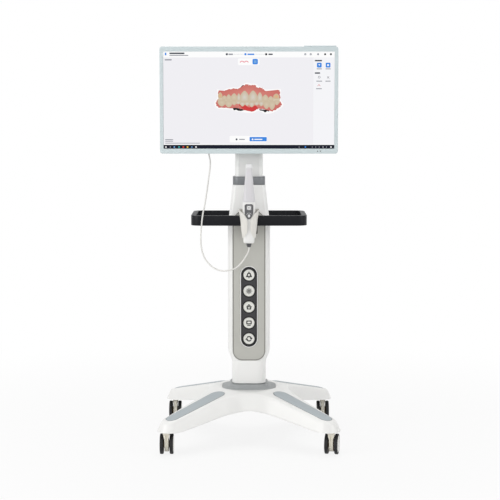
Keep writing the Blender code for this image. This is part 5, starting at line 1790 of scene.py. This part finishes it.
def addMonitorBack():
    width, height, corner = monitor["width"], monitor["height"], monitor["corner"]
    bulgeWide, bulgeHigh, bulgeCorner = monitor["bulgeSize"]
    edge, back = monitor["edgeBack"], monitor["bulgeBack"]
    edges = (
        (0.003, monitor["backFront"]),
        (0.003, edge - 0.0062),
        (0.0040, edge - 0.0040),
        (0.0068, edge - 0.0018),
        (0.0110, edge - 0.0005),
        (0.018, edge),
        (0.024, edge),
    )
    bulge = (
        (-0.012, 0.006, edge),
        (-0.006, 0.003, edge),
        (-0.001, 0.0, edge + 0.0012),
        (0.002, 0.0, edge + 0.0040),
        (0.006, 0.0, back - 0.0024),
        (0.0084, 0.0, back - 0.0007),
        (0.012, 0.0, back),
        (0.018, -0.003, back),
    )
    rings = [screenRing(width - inset, height - inset, corner, y) for inset, y in edges]
    for inset, rounder, y in bulge:
        rings.append(screenRing(bulgeWide - inset, bulgeHigh - inset, bulgeCorner + rounder, y))
    # Painted shade: the shallow slots' walls and floors are painted near black for the darkness inside the
    # vents
    slot = slabMesh([roundedRectangle(vents["slotLength"], vents["slotWidth"], 0.00105, 5)], 0.0024)
    slots = repeatedMesh("ventSlots", slot, ventPlaces(), facingBack, "ventDark")
    slots.transform(Matrix.Translation((0, -0.0012, 0)))
    grooves = ((0.040, 0.012), (0.0414, 0.0113))
    seam = [roundedRectangle(bulgeWide - inset, bulgeHigh - inset, corner, 8) for inset, corner in grooves]
    seam = slabMesh(seam, 0.0016)
    cuts = [(slots, level(0)), (seam, backwards(back - 0.0008, monitor["hinge"]))]
    mesh = shaped(loftMesh(rings), cuts=cuts)
    low = monitor["hinge"] + vents["topLift"] - vents["pitchZ"]
    high = low + (vents["rows"] + 1) * vents["pitchZ"]
    reach = (vents["columns"] / 2) * vents["pitchX"]

    def inSlot(face):
        x, y, z = face.center
        return abs(x) < reach and low < z < high and edge < y < back - 0.0003

    paintFaces(mesh, 0, lambda face: True)
    paintFaces(mesh, 1, inSlot)
    paints = ["backBlue", "ventDark"]
    addPiece("smoothBack", mesh, "monitor", paints, ("monitor_back",), 28)


# Round head with a hexagonal socket
def screwHead(radius, height):
    profile = [
        (0.0, height * 0.35),
        (radius * 0.42, height * 0.35),
        (radius * 0.46, height),
        (radius * 0.72, height * 0.92),
        (radius * 0.94, height * 0.62),
        (radius, height * 0.2),
        (radius, 0.0),
        (0.0, 0.0),
    ]
    return turnedMesh(profile, 24)


# Four heads each on the back, on the plate and on the joint's flange
def addScrews():
    wide, high, _ = monitor["bulgeSize"]
    low, top = nodeBox("mount_plate")
    reach = (top.x - low.x) / 2 - 0.010
    sets = (
        ("backScrews", wide / 2 - 0.030, high / 2 - 0.028, monitor["bulgeBack"], 0.0032, 0.0011),
        ("plateScrews", reach, reach, top.y, 0.0040, 0.0016),
        ("flangeBolts", 0.0225, 0.0225, monitor["flangeSeat"], 0.0036, 0.0018),
    )
    for name, reachX, reachZ, seat, radius, height in sets:
        head = screwHead(radius, height)
        places = [(x, seat, monitor["hinge"] + z) for x in (-reachX, reachX) for z in (-reachZ, reachZ)]
        mesh = repeatedMesh(name, head, places, facingBack, "brightSteel")
        addPiece(name, mesh, "monitor", "brightSteel")


def addTopStrip():
    low, high = nodeBox("top_strip")
    size, middle = high - low, (high + low) / 2
    body = slabMesh([roundedRectangle(size.x, size.y, 0.0018, 8)], size.z)
    groove = blockMesh(0.0010, size.y * 2, 0.0012)
    cuts = [(groove, level(high.z, low.x + size.x * share, middle.y)) for share in (0.24, 0.71)]
    mesh = shaped(body, level(low.z, middle.x, middle.y), 0.0004, 3, cuts=cuts)
    addPiece("smoothTopStrip", mesh, "monitor", "bezelBlue", ("top_strip",))


# Pins inside the power inlet and contacts round the plug's collar
def addConnectorDetails():
    low, high = nodeBox("power_inlet")
    middle = (low + high) / 2
    pin = slabMesh([roundedRectangle(0.0042, 0.0021, 0.0004, 3)], 0.0068)
    spots = ((-0.0062, -0.002), (0.0062, -0.002), (0.0, 0.0032))
    places = [(middle.x + x, high.y - 0.0091, middle.z + z) for x, z in spots]
    mesh = repeatedMesh("inletPins", pin, places, facingBack, "brightSteel")
    addPiece("inletPins", mesh, "monitor", "brightSteel")
    low, high = nodeBox("cord_plug")
    middle = (low + high) / 2
    wide, tall = high.x - low.x, high.z - low.z
    sizes = ((0.0006, 0.0024), (-0.0002, 0.0022))
    rib = slabMesh([roundedRectangle(wide + grow, tall + grow, corner, 6) for grow, corner in sizes], 0.0008)
    places = [(middle.x, low.y + 0.004 + 0.0022 * step, middle.z) for step in range(5)]
    mesh = repeatedMesh("plugRibs", rib, places, facingBack, "cableGrey")
    addPiece("plugRibs", mesh, "monitor", "cableGrey")


addBezel()
addMonitorBack()
addScrews()
addTopStrip()
addConnectorDetails()
print("monitor made")

# Picture on the screen: generic fields, buttons and a scanned row of teeth, as flat shapes on the
# display, laid out on a canvas of 1366 by 778 units from its top left corner

canvas = {"width": 1366, "height": 778, "step": 0.00007, "first": 0.00006}
shades = {
    "white": (255, 255, 255),
    "field": (242, 241, 245),
    "panel": (247, 247, 250),
    "line": (176, 178, 184),
    "ink": (70, 74, 84),
    "paleInk": (150, 152, 160),
    "blue": (58, 136, 226),
    "paleBlue": (120, 170, 225),
    "navy": (10, 16, 34),
    "teal": (60, 170, 170),
    "red": (215, 65, 60),
    "rose": (238, 150, 160),
    "yellow": (232, 190, 70),
    "black": (24, 24, 28),
    "gum": (218, 136, 126),
    "gumDeep": (204, 112, 104),
    "gumRed": (208, 62, 62),
    "tooth": (214, 199, 174),
    "toothLight": (216, 211, 201),
    "toothEdge": (204, 186, 160),
    "toothWarm": (226, 178, 126),
}
# Bars: layer, left, top, right, bottom, corner and shade
screenBars = (
    (0, 0, 0, 1366, 778, 0, "field"),
    (1, 1197, 50, 1366, 738, 0, "panel"),
    (1, 0, 0, 1366, 50, 0, "white"),
    (1, 0, 737, 1366, 744, 0, "white"),
    (1, 0, 744, 1366, 778, 0, "navy"),
    (2, 14, 12, 26, 34, 3, "blue"),
    (2, 50, 12, 170, 24, 4, "ink"),
    (2, 50, 31, 200, 38, 3, "paleInk"),
    (2, 12, 64, 68, 74, 3, "paleInk"),
    (2, 520, 20, 556, 31, 3, "paleInk"),
    (2, 671, 20, 726, 31, 3, "blue"),
    (2, 838, 20, 872, 31, 3, "ink"),
    (2, 595, 58, 767, 111, 10, "white"),
    (3, 711, 62, 754, 105, 9, "blue"),
    (2, 1207, 70, 1265, 81, 4, "ink"),
    (2, 1207, 168, 1250, 179, 4, "ink"),
    (2, 1224, 92, 1262, 130, 7, "blue"),
    (2, 1294, 92, 1332, 130, 7, "blue"),
    (2, 1222, 137, 1264, 144, 3, "paleInk"),
    (2, 1292, 137, 1334, 144, 3, "paleInk"),
    (2, 1220, 234, 1266, 241, 3, "paleInk"),
    (2, 1292, 234, 1334, 241, 3, "paleInk"),
    (2, 1218, 294, 1264, 301, 3, "paleInk"),
    (2, 12, 699, 76, 707, 3, "paleInk"),
    (2, 12, 713, 76, 720, 3, "line"),
    (2, 12, 727, 290, 734, 3, "line"),
    (2, 528, 672, 825, 724, 8, "white"),
    (3, 688, 681, 825, 715, 4, "blue"),
    (4, 726, 696, 790, 704, 3, "white"),
    (3, 604, 696, 650, 704, 3, "paleInk"),
)
# Dots: layer, x, y, radius and shade
screenDots = (
    (2, 507, 25, 9, "ink"),
    (2, 655, 25, 9, "blue"),
    (2, 820, 25, 9, "black"),
    (2, 1131, 25, 9, "line"),
    (2, 1175, 25, 9, "line"),
    (2, 1233, 25, 8, "paleInk"),
    (2, 1289, 25, 8, "black"),
    (2, 1335, 25, 8, "black"),
    (3, 584, 700, 8, "ink"),
    (4, 712, 700, 7, "white"),
    (2, 18, 761, 6, "white"),
    (2, 53, 761, 5, "paleInk"),
    (2, 85, 761, 6, "paleBlue"),
    (2, 123, 761, 7, "teal"),
    (2, 157, 761, 7, "red"),
    (2, 191, 761, 7, "yellow"),
    (2, 226, 761, 5, "paleBlue"),
    (2, 259, 761, 6, "white"),
    (2, 1085, 761, 4, "paleInk"),
    (2, 1135, 761, 6, "blue"),
    (2, 1190, 761, 4, "paleInk"),
    (2, 1218, 761, 4, "paleInk"),
    (2, 1246, 761, 4, "paleInk"),
    (2, 1276, 761, 5, "line"),
    (2, 1304, 761, 4, "paleInk"),
    (2, 1340, 761, 6, "white"),
)
# Upper teeth and lower teeth from left to right: left, right, root and biting edge
upperTeeth = (
    (437, 470, 326, 372),
    (470, 504, 350, 385),
    (503, 540, 342, 390),
    (540, 590, 334, 394),
    (588, 616, 334, 396),
    (614, 682, 314, 406),
    (683, 748, 312, 406),
    (750, 790, 326, 402),
    (792, 836, 344, 398),
    (838, 876, 356, 394),
    (878, 924, 336, 378),
)
lowerTeeth = (
    (436, 496, 438, 384),
    (496, 548, 446, 392),
    (548, 582, 428, 394),
    (582, 614, 420, 398),
    (612, 650, 438, 400),
    (650, 686, 434, 400),
    (686, 724, 444, 402),
    (724, 764, 430, 400),
    (764, 800, 436, 398),
    (800, 846, 458, 396),
    (844, 890, 466, 394),
    (888, 922, 428, 390),
)
upperGum = (
    (441, 309), (450, 322), (482, 321), (504, 306), (560, 297), (590, 299), (614, 288), (640, 272),
    (668, 261), (690, 270), (718, 267), (736, 270), (746, 288), (784, 290), (798, 302), (820, 316),
    (858, 315), (900, 316), (922, 308), (930, 322), (930, 352), (924, 392), (800, 402), (680, 410),
    (560, 398), (470, 384), (438, 366),
)
lowerGum = (
    (430, 386), (446, 378), (560, 392), (680, 400), (800, 396), (916, 392), (930, 398), (945, 418),
    (934, 440), (908, 456), (870, 476), (836, 462), (790, 458), (752, 458), (716, 478), (676, 474),
    (640, 466), (600, 452), (560, 446), (540, 454), (500, 448), (440, 446), (422, 424), (420, 404),
)
biteBand = (
    (442, 368), (520, 372), (600, 368), (682, 366), (760, 368), (840, 372), (922, 368), (928, 392),
    (918, 416), (840, 424), (760, 418), (682, 416), (600, 416), (520, 422), (442, 416), (434, 392),
)
redGum = (
    (600, 420), (624, 436), (650, 416), (664, 438), (706, 450), (730, 430), (752, 446), (742, 462),
    (714, 478), (690, 472), (648, 464), (622, 446),
)
scanEdges = (
    ((616, 286), (630, 270), (640, 268), (646, 272), (630, 284), (620, 290)),
    ((554, 452), (570, 448), (640, 456), (654, 466), (620, 474), (596, 472), (580, 464), (562, 470)),
    ((762, 460), (842, 466), (844, 480), (830, 474), (812, 486), (796, 474), (770, 470)),
)


def linearShade(name):
    made = []
    for value in shades[name]:
        part = value / 255
        made.append(part / 12.92 if part <= 0.04045 else ((part + 0.055) / 1.055) ** 2.4)
    return (*made, 1.0)


# Collects flat shapes, each a fan or a face with a colour at every corner
class Picture:
    def __init__(self):
        self.bm = bmesh.new()
        self.tint = self.bm.loops.layers.float_color.new("tint")
        self.unit = monitor["screenWidth"] / canvas["width"] * 0.9988

    def vert(self, x, y, layer):
        depth = monitor["screenFront"] - canvas["first"] - layer * canvas["step"]
        place = ((x - canvas["width"] / 2) * self.unit, depth)
        height = monitor["hinge"] + (canvas["height"] / 2 - y) * self.unit
        return self.bm.verts.new((*place, height))

    def paint(self, face, colors):
        for loop, color in zip(face.loops, colors):
            loop[self.tint] = color

    def face(self, points, layer, shade):
        color = linearShade(shade)
        face = self.bm.faces.new([self.vert(x, y, layer) for x, y in points])
        self.paint(face, [color] * len(points))

    # A shape that shades from its middle to its edge
    def fan(self, points, middle, layer, inner, outer):
        inside, outside = linearShade(inner), linearShade(outer)
        center = self.vert(*middle, layer)
        ring = [self.vert(x, y, layer) for x, y in points]
        for i in range(len(ring)):
            face = self.bm.faces.new((center, ring[i], ring[(i + 1) % len(ring)]))
            self.paint(face, (inside, outside, outside))

    def bar(self, layer, left, top, right, bottom, corner, shade):
        if not corner:
            outline = [(left, top), (right, top), (right, bottom), (left, bottom)]
        else:
            outline = roundedRectangle(right - left, bottom - top, corner, 5)
            outline = moved(outline, (left + right) / 2, (top + bottom) / 2)
        self.face(outline, layer, shade)

    # Rounded root, straight sides and a softly rounded biting edge
    def tooth(self, left, right, root, edge, layer, inner, outer):
        middle, half = (left + right) / 2, (right - left) / 2 + 1
        outline = []
        steps = 9
        for side in (1, -1):
            for step in range(steps + 1):
                share = step / steps if side > 0 else 1 - step / steps
                width = half * min(1.0, (share * 2.3 + 0.05) ** 0.62)
                width *= 1 - 0.30 * max(0.0, (share - 0.82) / 0.18) ** 2
                outline.append((middle + side * width, root + (edge - root) * share))
        self.fan(outline, (middle, root + (edge - root) * 0.55), layer, inner, outer)


def smoothLoop(points, perSpan=3):
    closed = list(points) + [points[0]]
    return [tuple(point) for point in smoothCurve(closed, perSpan)][:-1]


# The uneven edge of a scanned surface
def ragged(points, reach):
    return [
        (x + reach * math.sin(2.1 * i), y + reach * math.cos(2.9 * i)) for i, (x, y) in enumerate(points)
    ]


def drawTeeth(picture):
    halo = smoothLoop(
        (
            (430, 300), (448, 306), (478, 312), (504, 296), (560, 286), (592, 290), (620, 272), (664, 250),
            (700, 258), (740, 260), (760, 278), (800, 292), (824, 304), (926, 298), (938, 320), (936, 386),
            (958, 416), (944, 446), (880, 486), (812, 496), (760, 472), (716, 490), (630, 484), (556, 472),
            (540, 462), (436, 456), (410, 424), (412, 396), (430, 372),
        )
    )
    picture.face(halo, 1, "white")
    for edge in scanEdges:
        picture.face(edge, 2, "black")
    picture.fan(ragged(smoothLoop(upperGum), 3.5), (682, 330), 3, "gum", "gumDeep")
    picture.fan(ragged(smoothLoop(lowerGum), 3.5), (682, 428), 3, "gum", "gumDeep")
    picture.face(smoothLoop(biteBand), 4, "tooth")
    picture.fan(ragged(smoothLoop(redGum), 2.5), (676, 450), 5, "gumRed", "gumRed")
    for number, (left, right, root, edge) in enumerate(lowerTeeth):
        middle = 2 < number < 9
        picture.tooth(left, right, root, edge, 6, "toothLight" if middle else "tooth", "toothEdge")
    for number, (left, right, root, edge) in enumerate(upperTeeth):
        outermost = number in (0, len(upperTeeth) - 1)
        inner = "toothWarm" if outermost else "toothLight" if 3 < number < 8 else "tooth"
        picture.tooth(left, right, root, edge, 7, inner, "toothEdge")


def drawSigns(picture):
    for start, end in ((564, 636), (734, 806)):
        for step in range(9):
            x = start + (end - start) * step / 8
            picture.bar(2, x - 2, 24, x + 3, 27, 1, "line")
    for x in (628, 662):
        band = arcPoints(x, 96, 20, 200, 340, 14) + arcPoints(x, 96, 13, 340, 200, 14)
        picture.face(band, 3, "rose")
    for layer, line in ((2, (1306, 200, 1322, 216)), (3, (1322, 200, 1306, 216))):
        picture.face(barOutline(*line, 3), layer, "ink")
    picture.face(circlePoints(10, 16, 1243, 206), 2, "paleInk")
    picture.face(circlePoints(6, 16, 1243, 206), 3, "panel")
    picture.face([(1230, 274), (1241, 262), (1252, 274), (1252, 279), (1241, 267), (1230, 279)], 2, "red")
    picture.face([(1236, 104), (1250, 104), (1243, 118)], 3, "white")
    picture.face([(1306, 104), (1320, 104), (1320, 118), (1306, 118)], 3, "white")
    picture.face([(722, 73), (743, 73), (743, 94), (722, 94)], 4, "paleBlue")


def addPicture():
    picture = Picture()
    for item in screenBars:
        picture.bar(*item)
    for layer, x, y, radius, shade in screenDots:
        picture.face(circlePoints(radius, 16, x, y), layer, shade)
    drawSigns(picture)
    drawTeeth(picture)
    mesh = bpy.data.meshes.new("screenPicture")
    for face in picture.bm.faces:
        face.normal_update()
        if face.normal.y > 0:
            face.normal_flip()
    picture.bm.to_mesh(mesh)
    picture.bm.free()
    addPiece("screenPicture", mesh, "monitor", "litPicture")


addPicture()
print("picture made")

# Finishes of the solids that keep their own shape

keptFinishes = {
    "base_frame": "frameSteel",
    "screen_panel": "portBlack",
    "mount_plate": "frameSteel",
    "tilt_knuckle": "frameSteel",
    "tilt_bracket": "frameSteel",
    "tilt_pin": "brightSteel",
    "cable_hook": "brightSteel",
    "scanner_port": "portBlack",
    "power_inlet": "portBlack",
    "cord_plug": "cableGrey",
}
for node, paint in keptFinishes.items():
    mesh = nodes[node].data
    mesh.materials.clear()
    mesh.materials.append(materials[paint])
print("finishes given")
